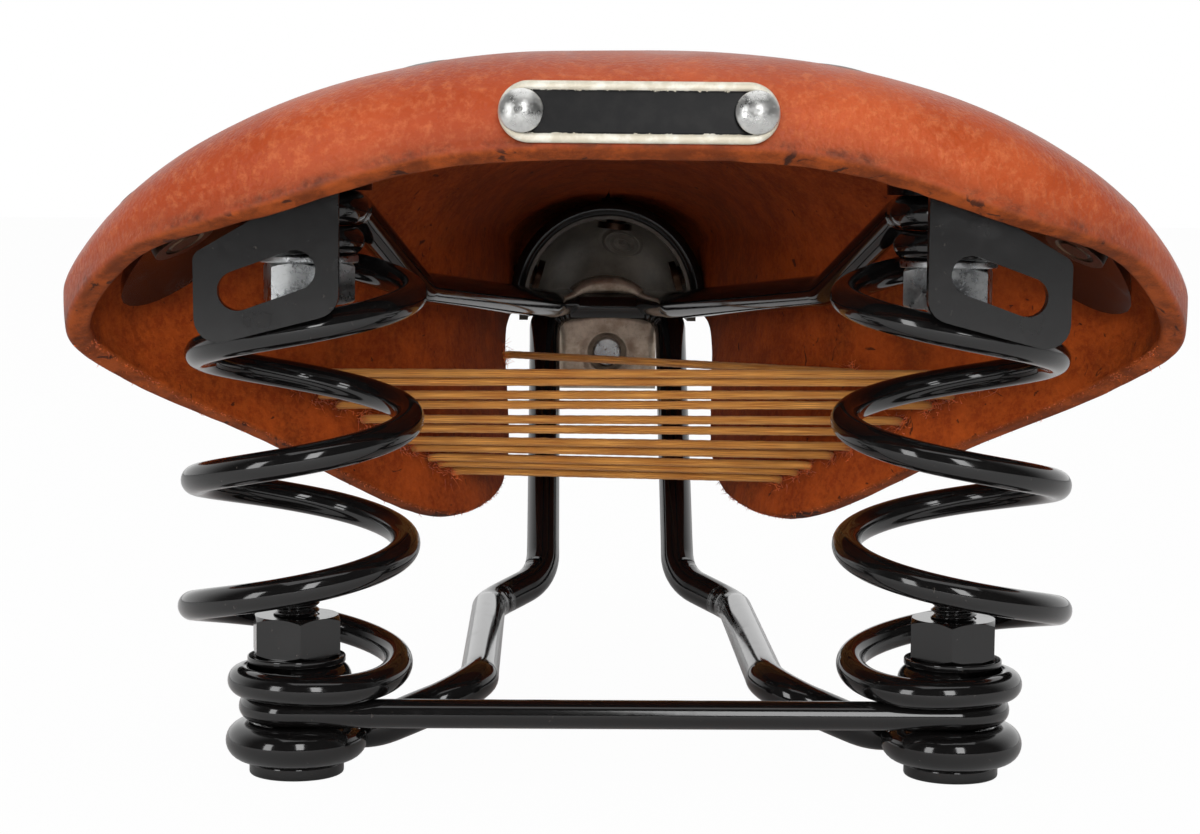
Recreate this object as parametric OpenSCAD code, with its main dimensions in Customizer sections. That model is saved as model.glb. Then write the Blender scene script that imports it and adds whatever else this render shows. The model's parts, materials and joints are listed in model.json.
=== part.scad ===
// Sprung leather bicycle saddle: a tensioned leather top on a bent wire frame
// with two rear coil springs. Millimetres. +Y points to the nose, +X to the
// rider's right, +Z up. The origin is the middle of the clamp zone, halfway
// between the two rails.

/* [Seat rails] */
// Diameter of the rail wire
rail_d = 7; // [6.5:0.1:7.6]
// Distance between the rails' centres where the seat clamp grips them
rail_gauge = 51.8; // [49:0.1:54]
// Straight length of each rail in the clamp zone
clamp_len = 75; // [65:1:82]
// Distance between the rails' centres where they rise to the nose
neck_gauge = 29.2; // [28.4:0.1:30]
// Distance of the nose loop's axis ahead of the middle of the clamp zone
loop_y = 107.6; // [105:0.1:110]
// Height of the nose loop's axis above the clamp zone
loop_z = 60; // [57:0.5:63]
// Bend radius of the nose loop's corners
loop_bend_r = 7; // [6:0.1:7.4]
// Radius of the rail eye's centre line round the rear bolt
rail_eye_r = 8.7; // [8.2:0.1:9.2]
// Height of the rail eyes below the clamp zone
rail_eye_drop = 7.7; // [6.5:0.1:9]

/* [Rear wires and springs] */
// Diameter of the cross wire between the rear bolts
cross_d = 5; // [4:0.1:5.6]
// Radius of the cross wire eye's centre line
cross_eye_r = 7.5; // [7:0.1:8]
// Diameter of the spring wire
spring_d = 5.1; // [4.5:0.1:5.4]
// Radius of the spring coil's centre line
coil_r = 18.2; // [17.4:0.1:19]
// Radius of the spring end eye's centre line
spring_eye_r = 7; // [6.8:0.1:7.4]
// Free turns of each spring between its end spirals
spring_turns = 3; // [3]
// Distance between the spring axes at the bottom
spring_gauge = 114.4; // [112:0.2:117]
// Distance between the spring axes at the top
top_gauge = 110; // [108:0.2:112]
// Height between the bottom and the top eye of a spring
spring_height = 75.7; // [72:0.5:79]
// Diameter of the upper stay wire
stay_d = 6; // [5.4:0.1:6.4]
// Radius of the stay eye's centre line
stay_eye_r = 7.3; // [7:0.1:7.8]

/* [Fasteners] */
// Thread diameter of the four spring bolts
bolt_d = 8; // [7.6:0.1:8.4]
// Width across the flats of the spring bolt nuts
nut_flats = 14.4; // [13:0.1:15]
// Height of the spring bolt nuts
nut_h = 7; // [6:0.1:8]
// Outer diameter of the spring bolt washers
washer_d = 17; // [15:0.1:18]
// Thickness of the spring bolt washers
washer_t = 1.3; // [1:0.1:1.6]
// Diameter of the bolt heads under the rail eyes
head_d = 16.4; // [14:0.1:18]
// Thickness of the bolt heads under the rail eyes
head_h = 2.4; // [2:0.1:4]
// Length of bolt thread that stands out of the lower nuts
thread_out = 3.8; // [1:0.1:6]
// Diameter of the rivet heads on the leather
rivet_head_d = 11; // [9:0.1:12]
// Diameter of the rivet shanks
rivet_d = 4.6; // [3.6:0.1:5]

/* [Leather top] */
// Thickness of the leather
leather_t = 4.5; // [4:0.1:5]
// Widest half width of the leather
half_w = 98.5; // [95:0.5:102]
// Height of the crest above the cantle plate's pads
crown_h = 23.7; // [22:0.1:25]
// Diameter of the lacing cord
cord_d = 1.9; // [1.6:0.1:2.4]

/* [Cantle plate] */
// Thickness of the pressed cantle plate
plate_t = 2.5; // [2:0.1:2.8]
// Radius of the dome that the cantle plate is pressed to
plate_r = 155; // [150:1:160]
// Width of each bag loop's slot
slot_w = 16.5; // [14:0.1:18]
// Height of each bag loop's slot
slot_h = 6.5; // [5.5:0.1:7]

/* [Nose fitting] */
// Outer radius of the domed nose plate
nose_r = 20.6; // [20:0.1:21]
// Thickness of the nose plate
nose_t = 2; // [1.6:0.1:2.4]
// Width of the cast tension block
block_w = 21.4; // [20:0.1:21.6]
// Length of the cast tension block from back to front
block_len = 14; // [12:0.5:16]
// Diameter of the tension bolt
tension_d = 6.8; // [6:0.1:7.2]
// Width across the flats of the tension nut
tension_flats = 11; // [10:0.1:12]

/* [Badge] */
// Length of the rear badge
badge_w = 44; // [38:0.5:48]
// Height of the rear badge
badge_h = 9.8; // [8:0.1:11]

/* [Hidden] */
$fn = 48;

// Gap left where a wire eye closes on its own shank
eye_gap = 0.4;
// Diameter that a wire loses where it is bent, and how far a straight laps into a bend
draw_loss = 0.12;
bend_lap = 0.15;
// Radial running clearance of the nose loop in the tension block
loop_clear = 0.08;
// Radial running clearance of the tension nut on its bolt
thread_clear = 0.05;
// Radial clearance of a bolt in the hole that it passes
hole_clear = 0.3;

// Radius of the bends at the rear and front of the clamp zone
corner_r = 9;
kick_r = 12;
leg_r = 14;
// Reach of the rail's inward kick ahead of the clamp zone, and its rise
kick_y = 13;
kick_z = 4;
rail_x = rail_gauge / 2;
neck_x = neck_gauge / 2;
bolt_x = spring_gauge / 2;
top_x = top_gauge / 2;
// Y of both spring axes, set back by the rear corner and the rail eye
spring_y = -(clamp_len / 2 + corner_r + rail_eye_r);

// Stack of the lower bolt, from the head up
rail_eye_z = -rail_eye_drop;
cross_z = rail_eye_z + rail_d / 2 + cross_d / 2;
spring_z = cross_z + cross_d / 2 + spring_d / 2;
lower_washer_z = spring_z + spring_d / 2;
lower_nut_z = lower_washer_z + washer_t;
lower_head_z = rail_eye_z - rail_d / 2 - head_h;

// Stack of the upper bolt, from the nut up
spring_top_z = spring_z + spring_height;
stay_z = spring_top_z + spring_d / 2 + stay_d / 2;
pad_z = stay_z + stay_d / 2;
crest_z = pad_z + crown_h;
upper_washer_z = spring_top_z - spring_d / 2 - washer_t;
upper_nut_z = upper_washer_z - nut_h;
upper_thread_out = 2;
pad_r = 10.8;
pad_t = 2.5;

// Direction of a vector
function unit(v) = v / norm(v);

// Angle that a path turns through at its corner i
function turn(p, i) = let (a = unit(p[i] - p[i - 1]), b = unit(p[i + 1] - p[i]))
    acos(max(-1, min(1, a * b)));

// Straight length that the bend at corner i takes on each side of it
function setback(p, r, i) =
    i <= 0 || i >= len(p) - 1 ? 0 : r[i] * tan(turn(p, i) / 2);

// Angle that an eye of radius r wraps before it meets its own shank
function eye_wrap(r, d) = 360 - acos(1 - (d + eye_gap) / r);

// Straight round rod between two points
module rod(a, b, d) {
    v = b - a;
    translate(a)
        rotate([0, acos(v[2] / norm(v)), atan2(v[1], v[0])])
            cylinder(d = d, h = norm(v));
}

// Bend of radius r at corner i of path p
module bend(p, r, i, d) {
    a = unit(p[i] - p[i - 1]);
    b = unit(p[i + 1] - p[i]);
    n = unit(b - (a * b) * a);
    k = cross(a, n);
    c = p[i] - a * setback(p, r, i) + n * r[i];
    multmatrix([
        [-n[0], a[0], k[0], c[0]],
        [-n[1], a[1], k[1], c[1]],
        [-n[2], a[2], k[2], c[2]],
        [0, 0, 0, 1]])
        rotate_extrude(angle = turn(p, i)) translate([r[i], 0]) circle(d = d - draw_loss);
}

// Round wire along path p, with bend radius r[i] at each corner
module wire(p, r, d) {
    for (i = [0 : len(p) - 2]) {
        v = unit(p[i + 1] - p[i]);
        rod(p[i] + v * (setback(p, r, i) - bend_lap), p[i + 1] - v * (setback(p, r, i + 1) - bend_lap), d);
    }
    for (i = [1 : len(p) - 2]) bend(p, r, i, d);
}

// Closed wire eye round the Z axis that starts at angle a and wraps by w
module eye(r, d, a, w) {
    rotate([0, 0, a]) rotate_extrude(angle = w) translate([r, 0]) circle(d = d - draw_loss);
}

// The children and their mirror image on the other side
module both() {
    children();
    mirror([1, 0, 0]) children();
}

// Hexagon nut blank with its chamfered corners, standing on Z = 0
module hex(flats, h, bore) {
    corner_d = flats / cos(30);
    chamfer = (corner_d - flats) / 2;
    difference() {
        intersection() {
            cylinder(d = corner_d, h = h, $fn = 6);
            union() {
                cylinder(d1 = flats, d2 = corner_d, h = chamfer * 0.6);
                translate([0, 0, chamfer * 0.6])
                    cylinder(d = corner_d, h = h - chamfer * 1.2);
                translate([0, 0, h - chamfer * 0.6])
                    cylinder(d1 = corner_d, d2 = flats, h = chamfer * 0.6);
            }
        }
        translate([0, 0, -1]) cylinder(d = bore, h = h + 2);
    }
}

// ---------------------------------------------------------------- rails

// Path of the right rail from its eye to the corner of the nose loop
kick = [neck_x - rail_x, kick_y, kick_z];
kick_angle = acos(unit(kick) * [0, 1, 0]);
rail_front = [rail_x, clamp_len / 2 + kick_r * tan(kick_angle / 2), 0];
rail_half = [
    [bolt_x, spring_y + rail_eye_r, rail_eye_z],
    [rail_x + 18, spring_y + rail_eye_r, rail_eye_z],
    [rail_x, spring_y + rail_eye_r, 0],
    rail_front,
    rail_front + kick,
    [neck_x, loop_y, loop_z]];
rail_half_r = [0, kick_r, corner_r, kick_r, leg_r, loop_bend_r];
rail_path = concat(rail_half, [for (i = [5 : -1 : 0])
    [-rail_half[i][0], rail_half[i][1], rail_half[i][2]]]);
rail_path_r = concat(rail_half_r, [for (i = [5 : -1 : 0]) rail_half_r[i]]);

module rail_wire() color([0.03, 0.03, 0.035]) {
    wire(rail_path, rail_path_r, rail_d);
    wrap = eye_wrap(rail_eye_r, rail_d);
    both() translate([bolt_x, spring_y, rail_eye_z])
        eye(rail_eye_r, rail_d, 90 - wrap, wrap);
}

module cross_wire() color([0.03, 0.03, 0.035]) {
    wrap = eye_wrap(cross_eye_r, cross_d);
    rod([-bolt_x - bend_lap, spring_y - cross_eye_r, cross_z],
        [bolt_x + bend_lap, spring_y - cross_eye_r, cross_z], cross_d);
    both() translate([bolt_x, spring_y, cross_z]) eye(cross_eye_r, cross_d, -90, wrap);
}

// ---------------------------------------------------------------- springs

// Angles at which the bottom spiral, the coil, the top spiral and the eyes end
coil_end = 360 * spring_turns;
bottom_eye_a = -450;
bottom_spiral_a = -215;
top_spiral_a = coil_end + 275;
top_eye_a = coil_end + 480;
// Heights at which the even coil starts and ends, above the bottom eye
coil_z0 = 1.25;
coil_z1 = spring_height - 9.05;
coil_pitch = (coil_z1 - coil_z0) / spring_turns;
// Angle over which the wire levels out below and above the even coil
level_in = 110;
level_out = 190;

// Radius of the spring's centre line at angle a
function coil_radius(a) = a < coil_end / 2
    ? spring_eye_r + (coil_r - spring_eye_r) * max(0, min(1, (a - bottom_spiral_a) / (20 - bottom_spiral_a)))
    : coil_r - (coil_r - spring_eye_r) * max(0, min(1, (a - coil_end) / (top_spiral_a - coil_end)));

// Height of the spring's centre line at angle a, above the bottom eye
function coil_height(a) = let (
        u = max(0, min(1, 1 + a / level_in)), v = max(0, min(1, (a - coil_end) / level_out)))
    a < 0 ? coil_z0 * u * u * (3 - 2 * u) - coil_pitch * level_in / 360 * u * u * (1 - u)
    : coil_z0 + coil_pitch * min(a, coil_end) / 360
        + (spring_height - coil_z1) * v * v * (3 - 2 * v)
        + coil_pitch * level_out / 360 * v * (1 - v) * (1 - v);

// Point of a right-handed spring whose bottom axis is at the origin
function coil_point(a, lean) = let (z = coil_height(a))
    [coil_radius(a) * cos(a) + lean * z / spring_height, coil_radius(a) * sin(a), z];

// Ring of n points round p, square to direction t
function ring(p, t, d, n) =
    let (s = unit(cross(t, [0, 0, 1])), u = cross(s, t))
    [for (k = [0 : n - 1]) p + (s * cos(360 * k / n) + u * sin(360 * k / n)) * d / 2];

// Closed tube of n sides along the points p
module tube(p, d, n) {
    m = len(p);
    rings = [for (i = [0 : m - 1]) each ring(p[i],
        unit(p[min(i + 1, m - 1)] - p[max(i - 1, 0)]), d, n)];
    sides = [for (i = [0 : m - 2]) for (k = [0 : n - 1])
        let (a = i * n + k, b = i * n + (k + 1) % n) each [[a, b, b + n], [a, b + n, a + n]]];
    polyhedron(rings, concat(sides, [[for (k = [n - 1 : -1 : 0]) k]],
        [[for (k = [0 : n - 1]) (m - 1) * n + k]]));
}

// One spring, right-handed, leaning by the difference of the two gauges
module coil_spring() {
    step = 18;
    lean = bolt_x - top_x;
    translate([-bolt_x, spring_y, spring_z])
        tube([for (a = [bottom_eye_a : step : top_eye_a]) coil_point(a, lean)], spring_d, 10);
}

module spring_left() color([0.03, 0.03, 0.035]) coil_spring();
module spring_right() color([0.03, 0.03, 0.035]) mirror([1, 0, 0]) coil_spring();

// ---------------------------------------------------------------- stays

// Corners of the right stay: over the spring's back, down, along, into the block
stay_x = 13.2;
stay_end_z = loop_z + 7.5;
stay_path = [
    [top_x - stay_eye_r, spring_y, stay_z],
    [top_x - stay_eye_r, spring_y + 6, stay_z],
    [top_x - 17, spring_y + 37, stay_z - 15],
    [stay_x, loop_y - 44, loop_z + 1.8],
    [stay_x, loop_y + 1.4, stay_end_z]];
stay_path_r = [0, 6, 14, 8, 0];

module stay() {
    wrap = eye_wrap(stay_eye_r, stay_d);
    wire(stay_path, stay_path_r, stay_d);
    translate([top_x, spring_y, stay_z]) eye(stay_eye_r, stay_d, 180, wrap);
}

module stay_right() color([0.03, 0.03, 0.035]) stay();
module stay_left() color([0.03, 0.03, 0.035]) mirror([1, 0, 0]) stay();

// ---------------------------------------------------------------- bolts

module lower_bolts() color([0.04, 0.04, 0.045]) both()
    translate([bolt_x, spring_y, lower_head_z]) {
        cylinder(d = head_d, h = head_h);
        cylinder(d = bolt_d, h = lower_nut_z + nut_h + thread_out - lower_head_z);
    }

module lower_washers() color([0.04, 0.04, 0.045]) both()
    translate([bolt_x, spring_y, lower_washer_z]) washer();

module lower_nuts() color([0.04, 0.04, 0.045]) both()
    translate([bolt_x, spring_y, lower_nut_z]) rotate([0, 0, 20]) hex(nut_flats, nut_h, bolt_d);

module washer() difference() {
    cylinder(d = washer_d, h = washer_t);
    translate([0, 0, -1]) cylinder(d = bolt_d + 2 * hole_clear, h = washer_t + 2);
}

module upper_bolts() color([0.6, 0.61, 0.63]) {
    head_seat = pad_z + pad_t;
    both() translate([top_x, spring_y, 0]) {
        translate([0, 0, upper_nut_z - upper_thread_out])
            cylinder(d = bolt_d, h = head_seat - upper_nut_z + upper_thread_out);
        translate([0, 0, head_seat]) intersection() {
            cylinder(d = bolt_d * 1.7, h = 2.6);
            translate([0, 0, 2.6 - bolt_d * 1.9]) sphere(d = bolt_d * 3.8);
        }
    }
}

module upper_washers() color([0.7, 0.71, 0.73]) both()
    translate([top_x, spring_y, upper_washer_z]) washer();

module upper_nuts() color([0.7, 0.71, 0.73]) both()
    translate([top_x, spring_y, upper_nut_z]) rotate([0, 0, 15]) hex(nut_flats, nut_h, bolt_d);

// ---------------------------------------------------------------- leather

// Loft stations from the middle of the rear rim to the nose tip. Each holds the Y
// of its start on the spine with how far out the crown holds its height and how
// squarely it rolls over, then its widest point, then the end of its rim.
stations = [
    [[-60, 0.76, 0.75], [0, -95, crest_z - 12.3], [0, -96.3, crest_z - 16.6]],
    [[-60, 0.76, 0.72], [32, -93.5, crest_z - 13.8], [32, -94.8, crest_z - 18.3]],
    [[-59, 0.68, 0.52], [62, -86.5, crest_z - 20.3], [61.5, -88.2, crest_z - 26.8]],
    [[-57, 0.62, 0.34], [85, -71, crest_z - 30.3], [84.5, -72.1, crest_z - 34.3]],
    [[-51, 0.58, 0.2], [half_w, -48, crest_z - 41.8], [half_w - 0.8, -49.8, crest_z - 48.8]],
    [[-39, 0.62, 0.32], [93, -27, crest_z - 44.3], [90.5, -29, crest_z - 59.3]],
    [[-19, 0.62, 0.42], [72, -9, crest_z - 44.3], [68, -10.5, crest_z - 71.8]],
    [[5, 0.62, 0.42], [50, 11, loop_z + 10], [42, 12.5, loop_z - 36.5]],
    [[33, 0.62, 0.42], [38, 34, loop_z + 15], [30.5, 34, loop_z - 38.5]],
    [[67, 0.62, 0.42], [31.5, 67, loop_z + 18], [26.5, 66, loop_z - 32]],
    [[98, 0.62, 0.42], [28.3, 100, loop_z + 16], [27.7, 97, loop_z - 5]],
    [[112, 0.62, 0.42], [21.4, 134, loop_z + 13], [21.1, 133.4, loop_z - 3]],
    [[117, 0.62, 0.42], [0, 144.5, loop_z + 11], [0, 144, loop_z - 4]]];
n_st = len(stations);

// Height of the spine of the saddle at y, from the crest down to the nose
nose_top_z = loop_z + 29;
function spine_z(y) = let (u = max(0, (y + 60) / 177))
    crest_z - (crest_z - nose_top_z) * pow(u, 1.25);

// Station i, mirrored past either end so that the surface closes smoothly
function station(i) = i < 0 ? flip(stations[-i])
    : i >= n_st ? flip(stations[2 * n_st - 2 - i]) : stations[i];
function flip(s) = [s[0], [-s[1][0], s[1][1], s[1][2]], [-s[2][0], s[2][1], s[2][2]]];

// Catmull-Rom value between b and c at fraction u
function spline(a, b, c, d, u) = 0.5 * (2 * b + (c - a) * u
    + (2 * a - 5 * b + 4 * c - d) * u * u + (3 * b - a - 3 * c + d) * u * u * u);

// Interpolated station at parameter t
function at(t) = let (i = min(floor(t), n_st - 2), u = t - i, a = station(i - 1),
    b = station(i), c = station(i + 1), d = station(i + 2))
    [for (k = [0 : 2]) spline(a[k], b[k], c[k], d[k], u)];

// Point of the spine at an interpolated station
function spine_point(st) = [0, st[0][0], spine_z(st[0][0])];

// Outer face of the leather: s runs 0 to 1 over the top, then 1 to 2 down the skirt
function skin(t, s) = let (st = at(t), spine = spine_point(st), hold = st[0][1],
        side = st[1], rim = st[2], u = min(s, 1), v = max(0, s - 1))
    s <= 1
        ? let (p1 = [side[0] * hold, spine[1] + (side[1] - spine[1]) * hold, spine[2]],
            p2 = [side[0], side[1], side[2] + st[0][2] * (spine[2] - side[2])])
            pow(1 - u, 3) * spine + 3 * pow(1 - u, 2) * u * p1 + 3 * (1 - u) * u * u * p2 + pow(u, 3) * side
        : let (p1 = [side[0], side[1], (side[2] + rim[2]) / 2])
            pow(1 - v, 2) * side + 2 * (1 - v) * v * p1 + v * v * rim;

// Outward normal of the outer face, from its slopes along t and s
function skin_normal(t, s) = let (e = 0.01, t0 = max(0, t - e), t1 = min(n_st - 1, t + e),
        dt = skin(t1, s) - skin(t0, s), ds = skin(t, min(2, s + e)) - skin(t, max(0, s - e)),
        n = cross(ds, dt))
    unit(t <= e || t >= n_st - 1 - e ? [0, n[1], n[2]] : n);

// Inner face: the outer face moved in by the leather's thickness
function lining(t, s) = skin(t, s) - leather_t * skin_normal(t, s);

module leather_top() color([0.62, 0.27, 0.13]) {
    per_span = 3;
    across = concat([for (i = [1 : 8]) i / 8], [for (i = [1 : 5]) 1 + i / 5]);
    n = per_span * (n_st - 1);
    m = len(across);
    loop = 2 * n;
    spine_pts = [for (i = [0 : n]) spine_point(at(i / per_span))];
    under_pts = [for (p = spine_pts) p - [0, 0, leather_t]];
    side = function (face) [for (s = across) each concat(
        [for (i = [0 : n]) face(i / per_span, s)],
        [for (i = [n - 1 : -1 : 1]) let (p = face(i / per_span, s)) [-p[0], p[1], p[2]]])];
    outer = side(function (t, s) skin(t, s));
    inner = side(function (t, s) lining(t, s));
    points = concat(spine_pts, outer, under_pts, inner);
    base = n + 1 + loop * m;
    // Index of ring j, column i on the outer (0) or inner (1) face
    at_spine = function (i, f) f * base + (i <= n ? i : loop - i);
    id = function (j, i, f) j < 0 ? at_spine(i % loop, f) : f * base + n + 1 + j * loop + i % loop;
    sheet = [for (f = [0, 1]) for (j = [-1 : m - 2]) for (i = [0 : loop - 1])
        let (a = id(j, i, f), b = id(j, i + 1, f), c = id(j + 1, i + 1, f), d = id(j + 1, i, f))
        each f == 0 ? [[a, b, c], [a, c, d]] : [[c, b, a], [d, c, a]]];
    edge = [for (i = [0 : loop - 1])
        let (a = id(m - 1, i, 0), b = id(m - 1, i + 1, 0), c = id(m - 1, i + 1, 1), d = id(m - 1, i, 1))
        each [[a, b, c], [a, c, d]]];
    polyhedron(points, concat(sheet, edge));
}

// Turn that takes the Z axis to direction n
module turn_to(n) rotate([0, acos(n[2]), atan2(n[1], n[0])]) children();

// Frame on the leather's outer face at t, s, with Z standing square off it
module on_leather(t, s) translate(skin(t, s)) turn_to(skin_normal(t, s)) children();

// Distance from p down direction n to a sphere of radius r round c
function sphere_depth(p, n, c, r) = let (b = n * (p - c))
    b - sqrt(b * b - (p - c) * (p - c) + r * r);

// ---------------------------------------------------------------- cantle plate

// Apex of the plate's dome and the Y of its middle
plate_apex = crest_z - 5.6;
plate_y = -90;
plate_centre = [0, plate_y, plate_apex - plate_r];
// Centre of each bag loop's slot, its tilt, and the Y of the tab's rear face
slot_x = 59.7;
slot_z = pad_z - 14.6;
slot_tilt = 20;
tab_y = -80.2;

// Outline of the right half of the plate, from the middle of its rear edge
plate_half = [[0, -78.5], [30, -79], [58, -80.2], [70, -76], [81, -65], [88, -50],
    [85, -40], [76, -37], [63, -42], [50, -48], [30, -57], [0, -60]];

// Closed smooth outline through points p, with n steps for each span
function smooth(p, n) = let (m = len(p)) [for (i = [0 : m - 1]) for (k = [0 : n - 1])
    spline(p[(i + m - 1) % m], p[i], p[(i + 1) % m], p[(i + 2) % m], k / n)];
plate_loop = concat(plate_half, [for (i = [len(plate_half) - 2 : -1 : 1])
    [-plate_half[i][0], plate_half[i][1]]]);

// Polygon points with corner i of p rounded by radius r[i]
function rounded(p, r) = let (m = len(p)) [for (i = [0 : m - 1])
    let (a = unit(p[(i + m - 1) % m] - p[i]), b = unit(p[(i + 1) % m] - p[i]),
        half = acos(a * b) / 2, back = r[i] / tan(half), c = p[i] + unit(a + b) * r[i] / sin(half),
        t0 = p[i] + a * back - c, sweep = (180 - 2 * half) * sign(a[0] * b[1] - a[1] * b[0]))
    each r[i] == 0 ? [p[i]] : [for (k = [0 : 6]) let (w = -sweep * k / 6)
        c + [t0[0] * cos(w) - t0[1] * sin(w), t0[0] * sin(w) + t0[1] * cos(w)]]];

module dome(r) translate(plate_centre) sphere(r = r, $fn = 180);

// Places of the right-hand rear rivets on the leather
rear_rivet_ts = [[1.93, 0.33], [3.42, 0.69]];
// Depth of the plate's upper face under each of these places
rear_depth = [for (p = rear_rivet_ts)
    sphere_depth(skin(p[0], p[1]), skin_normal(p[0], p[1]), plate_centre, plate_r)];
// Gap between the leather's underside and the seats raised to meet it
seat_gap = 0.8;

module cantle_plate() color([0.03, 0.03, 0.035]) difference() {
    union() {
        intersection() {
            difference() {
                dome(plate_r);
                dome(plate_r - plate_t);
            }
            translate([0, 0, pad_z - 27.6]) linear_extrude(60) polygon(smooth(plate_loop, 4));
        }
        both() {
            intersection() {
                dome(plate_r - plate_t / 2);
                union() {
                    translate([top_x, spring_y, pad_z]) cylinder(r = pad_r, h = 20);
                    bag_loop();
                }
            }
            difference() {
                translate([top_x, spring_y, pad_z - 5]) cylinder(r = pad_r + plate_t, h = 5 + pad_t);
                dome(plate_r - plate_t);
            }
            for (i = [0, 1]) rivet_seat(rear_rivet_ts[i], rear_depth[i]);
        }
    }
    both() translate([top_x, spring_y, 0]) {
        cylinder(d = bolt_d + 2 * hole_clear, h = pad_z + 30);
        cylinder(r = pad_r, h = pad_z);
        translate([0, 0, pad_z + pad_t]) cylinder(r = pad_r - plate_t, h = 20);
    }
    both() for (p = rear_rivet_ts)
        on_leather(p[0], p[1]) translate([0, 0, -20]) cylinder(d = rivet_d, h = 20);
}

// Raised seat under a rivet, from the plate up to the leather's underside
module rivet_seat(p, depth) {
    low = -depth - plate_t / 2;
    on_leather(p[0], p[1]) translate([0, 0, low])
        cylinder(d = rivet_head_d, h = -leather_t - seat_gap - low);
}

// Tab bent down from the plate's rear edge, with its slot for a bag strap
module bag_loop() {
    drop = slot_z - slot_h / 2 - 5.2;
    tab = rounded([[48, crest_z], [48, drop + 3.2], [71.4, drop - 2.9], [71.6, slot_z + 4.2],
        [60, slot_z + 11], [60, crest_z]], [0, 4, 4, 2, 0, 0]);
    difference() {
        translate([0, tab_y + plate_t, 0]) rotate([90, 0, 0]) linear_extrude(plate_t) polygon(tab);
        translate([slot_x, tab_y, slot_z]) rotate([0, slot_tilt, 0]) rotate([90, 0, 0])
            translate([0, 0, -plate_t - 1]) linear_extrude(plate_t + 2) {
                square([slot_w - slot_h, slot_h], center = true);
                for (s = [-1, 1]) translate([s * (slot_w - slot_h) / 2, 0]) circle(d = slot_h);
            }
    }
}

// Rivet's domed head on the leather at p, with its shank down to depth below
module rivet_head(p, below) on_leather(p[0], p[1]) {
    head_r = rivet_head_d * 1.2;
    translate([0, 0, -below]) cylinder(d = rivet_d, h = below);
    intersection() {
        translate([0, 0, -0.9]) cylinder(d = rivet_head_d, h = 2);
        translate([0, 0, 0.8 - head_r]) sphere(r = head_r);
    }
}

// Rivet's rolled end, which hangs from the origin with two ridges below
module rolled_end(d) translate([0, 0, -1.5]) difference() {
    cylinder(d = d, h = 1.5);
    rotate_extrude() translate([d * 0.28, 0]) circle(d = 1);
}

module rear_rivets() color([0.25, 0.2, 0.16]) both() for (i = [0, 1]) {
    p = rear_rivet_ts[i];
    out = unit(skin(p[0], p[1]) - skin_normal(p[0], p[1]) * (rear_depth[i] + plate_t) - plate_centre);
    rivet_head(p, rear_depth[i] + plate_t + 1);
    translate(plate_centre + out * (plate_r - plate_t - 0.15)) turn_to(out) rolled_end(rivet_head_d);
}

// ---------------------------------------------------------------- nose

nose_y = 117.5;
dome_z = loop_z + 2;
nose_back = 105;
skirt_z = loop_z - 3;
lip_z = loop_z - 17.5;
tension_z = loop_z - 10.5;
block_back = loop_y - 2.6;
block_front = block_back + block_len;
tension_nut_h = 6;
seat_y = nose_y + nose_r - nose_t - 3.4;
// Places of the nose rivets on the leather: on the spine, then on one side
nose_rivet_ts = [[11.25, 0], [10.45, 1.45]];

// Solid dome, arch and skirt of the nose plate out to radius r
module nose_solid(r) {
    translate([0, nose_y, dome_z]) {
        sphere(r = r, $fn = 96);
        rotate([90, 0, 0]) cylinder(r = r, h = nose_y - nose_back + 1);
        translate([0, 0, lip_z - dome_z - 1]) cylinder(r = r, h = dome_z - lip_z + 1);
    }
    translate([-r, nose_back - 1, lip_z - 1]) cube([2 * r, nose_y - nose_back + 1, dome_z - lip_z + 1]);
}

module nose_plate() color([0.03, 0.03, 0.035]) difference() {
    union() {
        intersection() {
            difference() {
                nose_solid(nose_r);
                nose_solid(nose_r - nose_t);
            }
            union() {
                translate([-50, nose_back, skirt_z]) cube([100, 60, 60]);
                translate([0, nose_y, tension_z + 1]) rotate([-90, 0, 0]) cylinder(d = 17, h = 60);
                translate([-8.5, nose_y, tension_z + 1]) cube([17, 60, 10]);
            }
        }
        translate([0, seat_y, tension_z]) rotate([-90, 0, 0])
            cylinder(d = tension_d + 7, h = nose_t + 1.9);
    }
    both() for (p = nose_rivet_ts) on_leather(p[0], p[1])
        translate([0, 0, -14]) cylinder(d = rivet_d, h = 14);
}

// Distance from p down direction n to the nose plate's arch
function arch_depth(p, n) = let (a = n[0] * n[0] + n[2] * n[2], z = p[2] - dome_z,
        b = p[0] * n[0] + z * n[2])
    (b - sqrt(b * b - a * (p[0] * p[0] + z * z - nose_r * nose_r))) / a;

// One rivet through the leather and the nose plate at p
module nose_rivet(p) {
    o = skin(p[0], p[1]);
    n = skin_normal(p[0], p[1]);
    q = o - n * (arch_depth(o, n) + nose_t);
    out = unit([q[0], 0, q[2] - dome_z]);
    sag = nose_r - nose_t - sqrt(pow(nose_r - nose_t, 2) - pow(rivet_head_d / 2, 2)) + 0.05;
    rivet_head(p, arch_depth(o, n) + nose_t + sag + 0.5);
    translate([0, q[1], dome_z] + out * (nose_r - nose_t - sag)) turn_to(out) rolled_end(rivet_head_d - 3);
}

module nose_rivets() color([0.25, 0.2, 0.16]) {
    nose_rivet(nose_rivet_ts[0]);
    both() nose_rivet(nose_rivet_ts[1]);
}

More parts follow.
